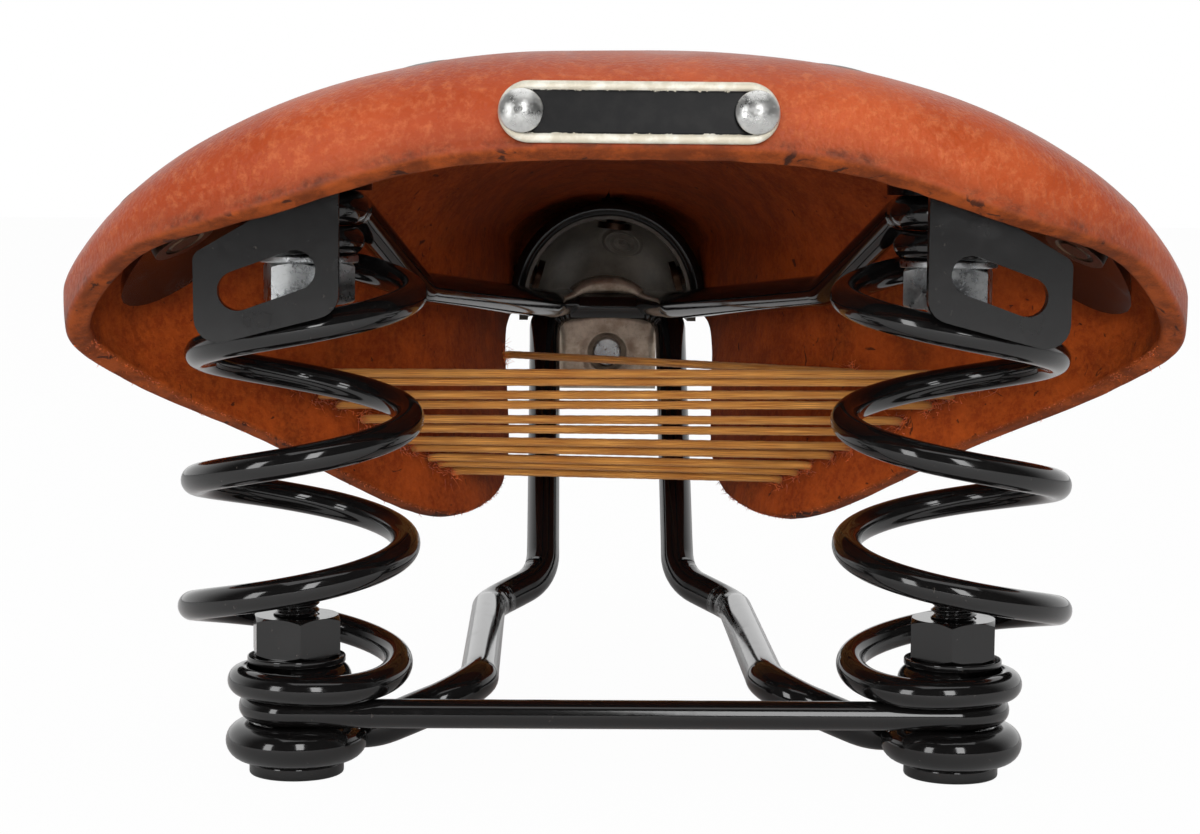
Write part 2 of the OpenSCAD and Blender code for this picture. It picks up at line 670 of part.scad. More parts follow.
module tension_block() color([0.33, 0.29, 0.26]) difference() {
    union() {
        translate([0, block_front, 0]) rotate([90, 0, 0]) linear_extrude(block_len) {
            translate([-block_w / 2, tension_z - 8.5]) square([block_w, loop_z - tension_z + 8.5]);
            intersection() {
                translate([0, loop_z - 5.8]) circle(r = 13);
                translate([-block_w / 2, loop_z - 2]) square([block_w, 20]);
            }
        }
        both() translate([stay_x, block_back, stay_end_z]) rotate([-90, 0, 0])
            cylinder(d = stay_d + 2.6, h = 5);
        translate([-stay_x, block_back, loop_z + 4.3]) cube([2 * stay_x, 5, 5.4]);
    }
    translate([-block_w, loop_y, loop_z]) rotate([0, 90, 0])
        cylinder(r = rail_d / 2 + loop_clear, h = 2 * block_w);
    both() translate([neck_x - loop_bend_r - 0.5, loop_y, loop_z]) rotate([0, 90, 0])
        cylinder(r1 = rail_d / 2 + loop_clear, r2 = rail_d / 2 + 2.3, h = 4.6);
    both() rod(stay_path[3], stay_path[4], stay_d);
    translate([0, block_back - 1, tension_z]) rotate([-90, 0, 0]) {
        cylinder(d = tension_d + 4, h = 7);
        cylinder(d = tension_d + 2 * hole_clear, h = block_len + 2);
    }
}

module tension_bolt() color([0.7, 0.71, 0.73]) translate([0, 0, tension_z]) rotate([-90, 0, 0]) {
    translate([0, 0, block_back + 2]) cylinder(d = tension_d, h = seat_y - block_back - 2);
    translate([0, 0, seat_y - 3]) cylinder(d = tension_d + 5, h = 3);
}

module tension_nut() color([0.7, 0.71, 0.73]) translate([0, block_front, tension_z])
    rotate([-90, 0, 0]) hex(tension_flats, tension_nut_h, tension_d + 2 * thread_clear);

// ---------------------------------------------------------------- badge

badge_y = -95.6;
badge_z = crest_z - 11.1;
badge_tilt = 8;
badge_t = 1.2;
badge_pin_x = badge_w / 2 - badge_h / 2 + 1.3;

module badge_frame() translate([0, badge_y, badge_z]) rotate([90 - badge_tilt, 0, 0]) children();

module stadium(w, h) {
    square([w - h, h], center = true);
    for (s = [-1, 1]) translate([s * (w - h) / 2, 0]) circle(d = h);
}

module badge_plate() color([0.75, 0.72, 0.62]) badge_frame() difference() {
    linear_extrude(badge_t) stadium(badge_w, badge_h);
    translate([0, 0, badge_t - 0.4]) linear_extrude(1) stadium(badge_w - 2.2, badge_h - 2.2);
    for (s = [-1, 1]) translate([s * badge_pin_x, 0, -1]) cylinder(d = 2.6, h = 4);
}

module badge_rivets() color([0.8, 0.81, 0.83]) badge_frame()
    for (s = [-1, 1]) translate([s * badge_pin_x, 0, 0]) {
        translate([0, 0, -leather_t - 0.6]) cylinder(d = 2.6, h = leather_t + badge_t + 0.8);
        translate([0, 0, badge_t]) intersection() {
            cylinder(d = 7, h = 2);
            translate([0, 0, 1.7 - 5.2]) sphere(r = 5.2);
        }
    }

// ---------------------------------------------------------------- lacing

// Places of the lacing holes along each flap, from the rear. The slack first
// strand runs from far ahead in the left flap. Holes are closer in pairs.
holes = 12;
function pair(k) = (k % 2 == 1 ? 0.014 : -0.014);
function left_hole(k) = k == 0 ? [9.6, 1.86]
    : let (t = 6.14 + 0.142 * (k - 1) + pair(k)) [t, 1.5 + (t - 6.14) * 0.233];
function right_hole(k) = k == 0 ? [6.95, 1.39]
    : let (t = 5.85 + 0.165 * (k - 1) + pair(k)) [t, 1.535 + (t - 5.82) * 0.188];

// The cord at hole h of a flap: inside, in the wall, and outside, run along by d
function flap(m, h, d) = let (o = skin(h[0], h[1]), n = skin_normal(h[0], h[1]),
        k = [m, 1, 1], v = d * unit(skin(h[0] + 0.1, h[1]) - o))
    [for (p = [o - n * (leather_t + 1.5), o - n * 0.8, o + n * (cord_d / 2 + 0.1) + v])
        [p[0] * k[0], p[1], p[2]]];
function backward(v) = [for (i = [len(v) - 1 : -1 : 0]) v[i]];

// The whole cord: across, out through a flap, along it, in again and back across
lace_path = [for (k = [0 : holes - 1]) let (
        odd = k % 2 == 1,
        a = odd ? flap(1, right_hole(k), -0.8) : flap(-1, left_hole(k), -0.8),
        b = odd ? flap(-1, left_hole(k), 0.8) : flap(1, right_hole(k), 0.8))
    each concat(backward(a), b)];

module lacing() color([0.72, 0.5, 0.25]) tube(lace_path, cord_d, 8);

rail_wire();
cross_wire();
lower_bolts();
lower_washers();
lower_nuts();
spring_left();
spring_right();
stay_left();
stay_right();
upper_bolts();
upper_washers();
upper_nuts();
cantle_plate();
leather_top();
rear_rivets();
nose_plate();
nose_rivets();
tension_block();
tension_bolt();
tension_nut();
badge_plate();
badge_rivets();
lacing();
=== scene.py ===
"""Sprung leather bicycle saddle: fine pieces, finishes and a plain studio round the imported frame.

Lengths are in millimetres until a mesh is made; +Y points to the nose and +Z up.
"""
import json
import math

import bmesh
import bpy
import numpy as np
from mathutils import Matrix, Vector

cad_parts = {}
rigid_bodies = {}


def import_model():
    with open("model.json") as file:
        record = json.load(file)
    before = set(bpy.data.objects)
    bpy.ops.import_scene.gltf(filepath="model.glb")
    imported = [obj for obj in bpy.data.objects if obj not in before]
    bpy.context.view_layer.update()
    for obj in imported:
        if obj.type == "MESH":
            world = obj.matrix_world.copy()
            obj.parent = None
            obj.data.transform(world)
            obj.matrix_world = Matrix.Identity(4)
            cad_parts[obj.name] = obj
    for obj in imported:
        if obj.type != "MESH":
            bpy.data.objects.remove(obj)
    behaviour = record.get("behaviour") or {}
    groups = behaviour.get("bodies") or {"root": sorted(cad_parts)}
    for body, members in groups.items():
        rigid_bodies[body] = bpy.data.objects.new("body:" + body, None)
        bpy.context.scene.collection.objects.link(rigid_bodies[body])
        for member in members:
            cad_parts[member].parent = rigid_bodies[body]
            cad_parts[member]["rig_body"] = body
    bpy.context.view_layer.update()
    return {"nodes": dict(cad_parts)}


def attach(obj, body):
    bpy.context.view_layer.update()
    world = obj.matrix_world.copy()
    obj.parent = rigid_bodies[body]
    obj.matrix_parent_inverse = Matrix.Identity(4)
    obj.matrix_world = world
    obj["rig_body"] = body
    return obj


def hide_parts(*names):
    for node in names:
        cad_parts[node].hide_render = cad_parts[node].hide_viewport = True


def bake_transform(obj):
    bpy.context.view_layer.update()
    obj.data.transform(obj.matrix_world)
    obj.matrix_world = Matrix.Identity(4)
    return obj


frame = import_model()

MM = 0.001
rng = np.random.default_rng(11)

# ------------------------------------------------------------------ sizes

RAIL_D, CROSS_D, SPRING_D, STAY_D, CORD_D = 7.0, 5.0, 5.1, 6.0, 1.9
BOLT_X, TOP_X, SPRING_Y = 57.2, 55.0, -55.2
RAIL_EYE_R, CROSS_EYE_R, SPRING_EYE_R, STAY_EYE_R, COIL_R = 8.7, 7.5, 7.0, 7.3, 18.2
RAIL_EYE_Z, CROSS_Z, SPRING_Z = -7.7, -1.7, 3.35
SPRING_H = 75.7
SPRING_TOP_Z = SPRING_Z + SPRING_H
STAY_Z = SPRING_TOP_Z + SPRING_D / 2 + STAY_D / 2
PAD_Z = STAY_Z + STAY_D / 2
LOWER_NUT_Z, LOWER_HEAD_Z = 7.2, -13.6
UPPER_NUT_Z = SPRING_TOP_Z - SPRING_D / 2 - 1.3 - 7.0
NUT_H, HEAD_D, HEAD_H, BOLT_D = 7.0, 16.4, 2.4, 8.0
LOOP_Y, LOOP_Z, NECK_X, RAIL_X = 107.6, 60.0, 14.6, 25.9
EYE_GAP, LEATHER_T = 0.4, 4.5
BADGE = dict(y=-95.6, z=100.2, tilt=8.0, w=44.0, h=9.8, t=1.2)
HOLES = 12

# A wire's rounded end: how far past it each of two closing rings lies, and how wide it is, both as shares
# of the wire's radius.
CAP_OUT, CAP_SHARE = (0.12, 0.17), (0.9, 0.72)

# ------------------------------------------------------------------ meshes


def unit(v):
    """Vectors divided by their own lengths, along the last axis."""
    v = np.asarray(v, float)
    return v / np.maximum(np.linalg.norm(v, axis=-1, keepdims=True), 1e-12)


def quads(rows, cols, wrap):
    """Faces of a grid stored row by row; each takes two points of a row and two of the next."""
    i, j = np.meshgrid(np.arange(rows - 1), np.arange(cols if wrap else cols - 1), indexing="ij")
    a, b = i * cols + j, i * cols + (j + 1) % cols
    return np.stack([a, b, b + cols, a + cols], -1).reshape(-1, 4)


def build(name, points, faces, smooth=True):
    """Mesh object at the origin from points in millimetres and lists of face corners."""
    mesh = bpy.data.meshes.new(name)
    mesh.from_pydata((np.asarray(points).reshape(-1, 3) * MM).tolist(), [],
                     [list(f) for part in faces for f in np.asarray(part).tolist()])
    mesh.update()
    if smooth:
        mesh.polygons.foreach_set("use_smooth", np.ones(len(mesh.polygons), bool))
    obj = bpy.data.objects.new(name, mesh)
    bpy.context.scene.collection.objects.link(obj)
    return obj


def weld(obj, distance=0.002):
    """Merges points closer than distance and turns every face outwards."""
    work = bmesh.new()
    work.from_mesh(obj.data)
    bmesh.ops.remove_doubles(work, verts=work.verts, dist=distance * MM)
    bmesh.ops.recalc_face_normals(work, faces=work.faces)
    work.to_mesh(obj.data)
    work.free()
    obj.data.update()
    return obj


def place(obj, body, finish, slot, *nodes):
    """Gives a piece its finish, the body that it rides on and the nodes that it stands for; slot is not
    used.
    """
    obj.data.materials.clear()
    obj.data.materials.append(finish)
    if body:
        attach(obj, body)
    if nodes:
        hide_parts(*nodes)
    return obj


def add_value(obj, name, values):
    """Stores one number for each point of the mesh under a name that a material reads."""
    layer = obj.data.attributes.new(name, "FLOAT", "POINT")
    layer.data.foreach_set("value", np.asarray(values, np.float32).ravel())


def tube(path, radius, sides, flat=None, twist=None):
    """Points and faces of a round wire: circles of the given radius, square to a path.

    flat squeezes the circle across the bend, twist adds ribs of a laid cord, and both ends are closed
    through two smaller rings so that their corners are rounded.
    """
    path = np.asarray(path, float)
    along = unit(np.gradient(path, axis=0))
    across = unit(np.cross(along, [0.0, 0.0, 1.0]))
    up = np.cross(across, along)
    radius = np.broadcast_to(np.asarray(radius, float), len(path)).copy()
    start, end = -along[0] * radius[0], along[-1] * radius[-1]
    path = np.vstack([path[0] + start * CAP_OUT[1], path[0] + start * CAP_OUT[0], path,
                      path[-1] + end * CAP_OUT[0], path[-1] + end * CAP_OUT[1]])
    pad = lambda a: np.concatenate([a[:1], a[:1], a, a[-1:], a[-1:]])
    along, across, up, radius = pad(along), pad(across), pad(up), pad(radius)
    radius[[1, -2]] *= CAP_SHARE[0]
    radius[[0, -1]] *= CAP_SHARE[1]
    angle = np.linspace(0, 2 * np.pi, sides, endpoint=False)
    r = radius[:, None] * np.ones(sides)
    if flat is not None:
        r = r * (1 + pad(np.asarray(flat, float))[:, None] * np.cos(2 * angle))
    if twist is not None:
        run = np.concatenate([[0], np.cumsum(np.linalg.norm(np.diff(path, axis=0), axis=1))])
        r = r * (1 + twist[0] * np.abs(np.cos(twist[1] * angle / 2 + run[:, None] * twist[2])))
    spoke = np.cos(angle)[:, None] * across[:, None] + np.sin(angle)[:, None] * up[:, None]
    rings = path[:, None] + spoke * r[..., None]
    rows = len(path)
    points = np.vstack([rings.reshape(-1, 3), path[:1], path[-1:]])
    first, last = rows * sides, rows * sides + 1
    k = np.arange(sides)
    top = (rows - 1) * sides
    caps = np.vstack([np.stack([np.full(sides, first), (k + 1) % sides, k], -1),
                      np.stack([np.full(sides, last), top + k, top + (k + 1) % sides], -1)])
    return points, [quads(rows, sides, True)[:, ::-1], caps[:, ::-1]]


def joined(parts):
    """Several points-and-faces pairs as one, each part's faces moved on by the points before it."""
    points, faces, base = [], [], 0
    for p, fs in parts:
        points.append(p)
        faces += [np.asarray(f) + base for f in fs]
        base += len(p)
    return np.vstack(points), faces


def mirrored(part):
    """The part's mirror image across the middle plane, its faces turned round to stay outward."""
    points, faces = part
    return points * [-1, 1, 1], [np.asarray(f)[:, ::-1] for f in faces]


def revolved(profile, sides, centre, axis=(0, 0, 1), swell=None):
    """Profile of (radius, height) pairs turned once round an axis, with swell(angle, height) added."""
    profile = np.asarray(profile, float)
    angle = np.linspace(0, 2 * np.pi, sides, endpoint=False)
    r = profile[:, :1] * np.ones(sides)
    if swell is not None:
        r = np.maximum(r + swell(angle[None], profile[:, 1:]) * (profile[:, :1] > 0.01), 0)
    z = np.array(axis, float)
    x = unit(np.cross([0.0, 1.0, 0.0] if abs(z[1]) < 0.9 else [1.0, 0.0, 0.0], z))
    y = np.cross(z, x)
    spoke = np.cos(angle)[:, None] * x + np.sin(angle)[:, None] * y
    grid = np.asarray(centre, float) + r[..., None] * spoke + profile[:, 1][:, None, None] * z
    return grid.reshape(-1, 3), [quads(len(profile), sides, True)]


# ------------------------------------------------------------------ wires


def arc(centre, radius, start, sweep, z, step=3.0):
    """Points of a level arc round centre, from angle start over sweep, in degrees."""
    a = np.radians(np.linspace(start, start + sweep, max(3, int(abs(sweep) / step))))
    x, y = centre[0] + radius * np.cos(a), centre[1] + radius * np.sin(a)
    return np.stack([x, y, np.full_like(a, z)], -1)


def bent(corners, radii, step=1.2):
    """Centre line through corners with a circular bend of the given radius at each inner one."""
    corners = [np.array(c, float) for c in corners]
    line = [corners[0][None]]
    for i in range(1, len(corners) - 1):
        a, b = unit(corners[i] - corners[i - 1]), unit(corners[i + 1] - corners[i])
        turn = math.acos(np.clip(a @ b, -1, 1))
        if turn < 1e-3:
            continue
        back = radii[i] * math.tan(turn / 2)
        side = unit(b - (a @ b) * a)
        centre = corners[i] - a * back + side * radii[i]
        w = np.linspace(0, turn, max(4, int(radii[i] * turn / (step * 0.6))))[:, None]
        line.append(centre - side * radii[i] * np.cos(w) + a * radii[i] * np.sin(w))
    line.append(corners[-1][None])
    line = np.vstack(line)
    gap = np.linalg.norm(np.diff(line, axis=0), axis=1)
    run = np.concatenate([[0], np.cumsum(gap)])
    even = np.unique(np.concatenate([run, np.arange(0, run[-1], step)]))
    even = even[np.concatenate([[True], np.diff(even) > 0.05])]
    return np.stack([np.interp(even, run, line[:, k]) for k in range(3)], -1)


def wrap(radius, d):
    """Angle that a wire eye wraps before its end meets its own shank."""
    return 360 - math.degrees(math.acos(1 - (d + EYE_GAP) / radius))


def rail_line():
    """Right half of the rail: eye, outward leg, clamp zone, kick and the rise to the nose loop."""
    kick = np.array([NECK_X - RAIL_X, 13.0, 4.0])
    lean = math.acos(unit(kick)[1])
    clamp_end, bend_r = 37.5, 12
    front = np.array([RAIL_X, clamp_end + bend_r * math.tan(lean / 2), 0])
    round_eye = wrap(RAIL_EYE_R, RAIL_D)
    eye = arc((BOLT_X, SPRING_Y), RAIL_EYE_R, 90 - round_eye, round_eye, RAIL_EYE_Z)
    rear = SPRING_Y + RAIL_EYE_R
    shank = [[BOLT_X, rear, RAIL_EYE_Z], [RAIL_X + 18, rear, RAIL_EYE_Z], [RAIL_X, rear, 0],
             front, front + kick, [NECK_X, LOOP_Y, LOOP_Z], [0, LOOP_Y, LOOP_Z]]
    return np.vstack([eye[:-1], bent(shank, [0, 12, 9, bend_r, 14, 7, 0])])


def cross_line():
    """Right half of the cross wire: its eye round the lower bolt, then straight to the middle."""
    round_eye = wrap(CROSS_EYE_R, CROSS_D)
    eye = arc((BOLT_X, SPRING_Y), CROSS_EYE_R, -90 + round_eye, -round_eye, CROSS_Z)
    x = np.linspace(BOLT_X, 0, 40)
    return np.vstack([eye[:-1], np.stack([x, 0 * x + SPRING_Y - CROSS_EYE_R, 0 * x + CROSS_Z], -1)])


def both_halves(half):
    """A whole centre line from its right half, whose last point is on the middle plane."""
    return np.vstack([half, (half * [-1, 1, 1])[-2::-1]])


def hammered(path, size):
    """Slight squeeze of a wire where its path bends hardest, as a bending tool leaves it."""
    along = unit(np.gradient(path, axis=0))
    hard = np.linalg.norm(np.gradient(along, axis=0), axis=1)
    soft = np.convolve(hard, np.ones(5) / 5, "same")
    return size * np.clip(soft / 0.12, 0, 1)


def coil_line():
    """Centre line of a right-handed spring on the left bolt: spirals from the bottom eye out to the coil,
    climbs evenly for three turns and spirals back in to the top eye, leaning to the upper bolt.

    Angles are in degrees from the start of the climb: low and high are how long it eases in and out, the
    outward spiral starts at opens_at, and opens and closes are how long the spirals take."""
    turns, z0, z1 = 3, 1.25, SPRING_H - 9.05
    end, pitch, low, high = 360.0 * turns, (z1 - z0) / turns, 110.0, 190.0
    opens_at, opens, closes, lead_in, lead_out = -215, 235, 275, 450.0, 480.5
    a = np.arange(-lead_in, end + lead_out, 3.0)
    out = np.clip((a - opens_at) / opens, 0, 1)
    back = np.clip((a - end) / closes, 0, 1)
    spread = COIL_R - SPRING_EYE_R
    r = np.where(a < end / 2, SPRING_EYE_R + spread * out, COIL_R - spread * back)
    window = 17
    kernel = np.hanning(window) / np.hanning(window).sum()
    r = np.convolve(np.pad(r, window // 2, mode="edge"), kernel, "valid")
    u, v = np.clip(1 + a / low, 0, 1), np.clip((a - end) / high, 0, 1)
    z = np.where(a < 0, z0 * u * u * (3 - 2 * u) - pitch * low / 360 * u * u * (1 - u),
                 z0 + pitch * np.minimum(a, end) / 360 + (SPRING_H - z1) * v * v * (3 - 2 * v)
                 + pitch * high / 360 * v * (1 - v) ** 2)
    t = np.radians(a)
    x = -BOLT_X + r * np.cos(t) + (BOLT_X - TOP_X) * z / SPRING_H
    return np.stack([x, SPRING_Y + r * np.sin(t), SPRING_Z + z], -1)


def stay_line():
    """Right stay: eye round the upper bolt, forward over the spring, down and along to the block."""
    round_eye = wrap(STAY_EYE_R, STAY_D)
    eye = arc((TOP_X, SPRING_Y), STAY_EYE_R, 180 + round_eye, -round_eye, STAY_Z)
    corners = [[TOP_X - STAY_EYE_R, SPRING_Y, STAY_Z], [TOP_X - STAY_EYE_R, SPRING_Y + 6, STAY_Z],
               [TOP_X - 17, SPRING_Y + 37, STAY_Z - 15], [13.2, LOOP_Y - 44, LOOP_Z + 2.7],
               [9.5, LOOP_Y - 5.6, LOOP_Z + 1.5]]
    return np.vstack([eye[:-1], bent(corners, [0, 6, 14, 30, 0])])


# ------------------------------------------------------------------ leather

# Stations from the rear middle to the nose: spine Y, how far out the crown holds, how squarely it rolls
# over, the widest point, and the end of the rim.
STATIONS = np.array([
    [-60, 0.76, 0.75, 0, -95, 99, 0, -96.3, 94.7],
    [-60, 0.76, 0.72, 32, -93.5, 97.5, 32, -94.8, 93],
    [-59, 0.68, 0.52, 62, -86.5, 91, 61.5, -88.2, 84.5],
    [-57, 0.62, 0.34, 85, -71, 81, 84.5, -72.1, 77],
    [-51, 0.58, 0.2, 98.5, -48, 69.5, 97.7, -49.8, 62.5],
    [-39, 0.62, 0.32, 93, -27, 67, 90.5, -29, 52],
    [-19, 0.62, 0.42, 72, -9, 67, 68, -10.5, 39.5],
    [5, 0.62, 0.42, 50, 11, 70, 42, 12.5, 23.5],
    [33, 0.62, 0.42, 38, 34, 75, 30.5, 34, 21.5],
    [67, 0.62, 0.42, 31.5, 67, 78, 26.5, 66, 28],
    [98, 0.62, 0.42, 28.3, 100, 76, 27.7, 97, 55],
    [112, 0.62, 0.42, 21.4, 134, 73, 21.1, 133.4, 57],
    [117, 0.62, 0.42, 0, 144.5, 71, 0, 144, 56]], float)
OTHER_SIDE = np.array([1, 1, 1, -1, 1, 1, -1, 1, 1])
PADDED = np.vstack([STATIONS[1] * OTHER_SIDE, STATIONS, STATIONS[-2] * OTHER_SIDE])
LAST_T = len(STATIONS) - 1
CREST_Z = 111.3


def station(t):
    """Catmull-Rom station at parameter t, for a whole array of t."""
    t = np.asarray(t, float)
    i = np.clip(np.floor(t).astype(int), 0, LAST_T - 1)
    u = (t - i)[..., None]
    a, b, c, d = (PADDED[i + k] for k in range(4))
    square, cube = 2 * a - 5 * b + 4 * c - d, 3 * b - a - 3 * c + d
    return 0.5 * (2 * b + (c - a) * u + square * u * u + cube * u ** 3)


def skin(t, s):
    """Outer face of the leather: a cubic from the spine over the crown to the widest point for s up to 1,
    then a quadratic down the skirt to the rim at s = 2."""
    t, s = np.broadcast_arrays(np.asarray(t, float), np.asarray(s, float))
    st = station(t)
    y, hold, square, wide, rim = st[..., 0], st[..., 1], st[..., 2], st[..., 3:6], st[..., 6:9]
    rear, length, fall = -60, 177, 22.3
    top = CREST_Z - fall * np.maximum(0, (y - rear) / length) ** 1.25
    spine = np.stack([0 * y, y, top], -1)
    u, v = np.minimum(s, 1)[..., None], np.maximum(0, s - 1)[..., None]
    p1 = np.stack([wide[..., 0] * hold, y + (wide[..., 1] - y) * hold, top], -1)
    p2 = np.stack([wide[..., 0], wide[..., 1], wide[..., 2] + square * (top - wide[..., 2])], -1)
    over = (1 - u) ** 3 * spine + 3 * (1 - u) ** 2 * u * p1 + 3 * (1 - u) * u * u * p2 + u ** 3 * wide
    p1 = np.stack([wide[..., 0], wide[..., 1], (wide[..., 2] + rim[..., 2]) / 2], -1)
    down = (1 - v) ** 2 * wide + 2 * (1 - v) * v * p1 + v * v * rim
    return np.where((s <= 1)[..., None], over, down)


def skin_normal(t, s):
    """Outward normal of the outer face, from small steps along t and s."""
    t, s = np.broadcast_arrays(np.asarray(t, float), np.asarray(s, float))
    e, on_spine, at_rear = 0.01, 0.004, 1.2
    dt = skin(np.minimum(LAST_T, t + e), s) - skin(np.maximum(0, t - e), s)
    ds = skin(t, np.minimum(2, s + e)) - skin(t, np.maximum(0, s - e))
    n = np.cross(ds, dt)
    n[..., 0] = np.where((t <= e) | (t >= LAST_T - e), 0, n[..., 0])
    return np.where(((s < on_spine) & (t < at_rear))[..., None], [0.0, 0.0, 1.0], unit(n))


# Each row of lacing holes: t of the first and the step to the next, s at one t and its slope, and where
# hole 0 is, which on the left is the slack strand's far end and on the right lies high inside the flap.
LEFT_ROW = dict(first=6.14, step=0.142, s=1.5, at=6.14, slope=0.233, zero=(9.6, 1.86))
RIGHT_ROW = dict(first=5.85, step=0.165, s=1.535, at=5.82, slope=0.188, zero=(6.95, 1.39))


def row_hole(row, k):
    """Place (t, s) of lacing hole k of a row, the odd and even ones a little out of line."""
    k = np.asarray(k, float)
    zigzag = 0.014
    t = row["first"] + row["step"] * (k - 1) + np.where(k % 2 == 1, zigzag, -zigzag)
    s = row["s"] + (t - row["at"]) * row["slope"]
    return np.where(k == 0, row["zero"][0], t), np.where(k == 0, row["zero"][1], s)


def hole_points():
    """Points on the outer face at every lacing hole, left then right, and the normals there."""
    k = np.arange(HOLES)
    lt, ls = row_hole(LEFT_ROW, k)
    rt, rs = row_hole(RIGHT_ROW, k)
    o = np.vstack([skin(lt, ls) * [-1, 1, 1], skin(rt, rs)])
    n = np.vstack([skin_normal(lt, ls) * [-1, 1, 1], skin_normal(rt, rs)])
    return o, n


def ripple(p, scale, seed):
    """Smooth pseudo-random height between about -1 and 1: five sines in mixed directions."""
    r = np.random.default_rng(seed)
    ways = unit(r.normal(size=(5, 3))) / scale
    return sum(np.sin(p @ w * (1 + 0.37 * i) + r.uniform(0, 6.3)) for i, w in enumerate(ways)) / 3.2


def leather():
    """The whole hide: outer face, rounded cut edge and inner face in one closed grid, with the zone,
    the distance from the cut edge and the nearness of a lacing hole stored at each point."""
    cols, outer_rows, edge_rows, inner_rows = 250, 66, 12, 52
    t = np.linspace(0, LAST_T, cols)
    fall = np.linalg.norm(skin(t, 2.0) - skin(t, 1.99), axis=-1) / 0.01
    round_r = 1.1
    stop = 2 - round_r / fall
    steps = np.linspace(0, 1, outer_rows)[:, None]
    s_out = steps * stop
    outer = skin(t, s_out)
    outer_n = skin_normal(t, s_out)
    rim, rim_n = skin(t, 2.0 + 0 * t), skin_normal(t, 2.0 + 0 * t)
    down = unit(skin(t, 2.0) - skin(t, 1.98))
    w = (1 - np.cos(np.linspace(0, np.pi, edge_rows))) / 2 * LEATHER_T
    near = np.minimum(w, LEATHER_T - w)
    lift = round_r - np.sqrt(np.maximum(0, round_r ** 2 - np.maximum(0, round_r - near) ** 2))
    edge = rim - w[:, None, None] * rim_n - lift[:, None, None] * down
    edge_n = np.broadcast_to(down, edge.shape)
    steps = np.linspace(1, 0, inner_rows)[:, None]
    s_in = steps * stop
    inner = skin(t, s_in) - LEATHER_T * skin_normal(t, s_in)
    inner_n = -skin_normal(t, s_in)
    half = np.vstack([outer, edge[1:-1], inner])
    normal = np.vstack([outer_n, edge_n[1:-1], inner_n])
    zone = np.concatenate([np.zeros(outer_rows), np.linspace(0, 2, edge_rows)[1:-1],
                           np.full(inner_rows, 2.0)])
    seg = np.linalg.norm(np.diff(half, axis=0), axis=-1)
    run = np.vstack([np.zeros(cols), np.cumsum(seg, axis=0)])
    mid_a, mid_b = outer_rows - 1, outer_rows + edge_rows - 2
    outside = np.arange(len(half))[:, None] <= mid_a
    rim_gap = np.where(outside, run[mid_a] - run, np.maximum(0, run - run[mid_b]))
    full = np.concatenate([half, (half * [-1, 1, 1])[:, -2:0:-1]], 1)
    full_n = np.concatenate([normal, (normal * [-1, 1, 1])[:, -2:0:-1]], 1)
    zone = np.broadcast_to(zone[:, None], full.shape[:2])
    rim_gap = np.concatenate([rim_gap, rim_gap[:, -2:0:-1]], 1)
    o, hole_n = hole_points()
    gap = np.full(full.shape[:2], 99.0)
    for p in np.vstack([o, o - LEATHER_T * hole_n]):
        gap = np.minimum(gap, np.linalg.norm(full - p, axis=-1))
    pucker = np.exp(-(gap / 2.2) ** 2)
    rough = np.clip(zone, 0, 1) * np.clip(1 - rim_gap / 14, 0, 1)
    height = 0.12 * ripple(full, 9, 3) + 0.06 * ripple(full, 3.2, 5) * np.clip(zone, 0.2, 1) \
        - 0.5 * pucker + 0.14 * rough * ripple(full, 1.3, 9)
    height *= np.clip(np.where(zone < 0.01, rim_gap / 6, 1), 0.25, 1)
    full = full + full_n * np.minimum(height - 0.05, 0)[..., None]
    rows, around = full.shape[:2]
    half_width = 98.6
    full[..., 0] = np.clip(full[..., 0], -half_width, half_width)
    obj = build("leather_hide", full, [quads(rows, around, True)[:, ::-1]])
    add_value(obj, "zone", zone)
    add_value(obj, "rim", rim_gap)
    # Nearness of a lacing hole, which the leather's finish uses for the painted shade in the holes.
    add_value(obj, "hole", np.exp(-(gap / 1.9) ** 2))
    return weld(obj, 0.004)


def lace_line():
    """The cord from hole to hole: across, out through a flap, along it, in again and back across,
    with each turn rounded and the free strands sagging by a fraction of a millimetre."""
    line = []
    for k in range(HOLES):
        odd = k % 2 == 1
        ends = []
        for right in ((True, False) if odd else (False, True)):
            t, s = row_hole(RIGHT_ROW if right else LEFT_ROW, k)
            o, n = skin(t, s), skin_normal(t, s)
            v = unit(skin(t + 0.1, s) - o) * (0.8 if len(ends) else -0.8)
            p = np.array([o - n * (LEATHER_T + 1.5), o - n * 0.8, o + n * (CORD_D / 2 + 0.1) + v])
            ends.append(p * ([1, 1, 1] if right else [-1, 1, 1]))
        line += [ends[0][::-1], ends[1]]
    return np.vstack(line)


def smooth_line(points, step, keep):
    """Path through points, resampled every step and averaged over a window keep wide."""
    gap = np.linalg.norm(np.diff(points, axis=0), axis=1)
    run = np.concatenate([[0], np.cumsum(gap)])
    even = np.arange(0, run[-1], step)
    p = np.stack([np.interp(even, run, points[:, k]) for k in range(3)], -1)
    m = int(keep / step) | 1
    kernel = np.hanning(m + 2)[1:-1]
    kernel /= kernel.sum()
    padded = np.pad(p, ((m // 2, m // 2), (0, 0)), mode="edge")
    return np.stack([np.convolve(padded[:, k], kernel, "valid") for k in range(3)], -1)


def lacing():
    """The cord's mesh, with the way along it and the way round it stored at each point."""
    step, sides, window = 0.55, 14, 2.6
    line = smooth_line(lace_line(), step, window)
    cord = build("lacing_cord", *tube(line, CORD_D * 0.43, sides, twist=(0.05, 2, 1.1)))
    rows = len(line) + 2 * len(CAP_OUT)
    run = np.repeat(np.arange(rows) * step, sides)
    turn = np.tile(np.abs(np.linspace(-1, 1, sides, endpoint=False)) * 6, rows)
    add_value(cord, "run", np.concatenate([run, [0, run[-1]]]))
    add_value(cord, "turn", np.concatenate([turn, [0, 0]]))
    return cord


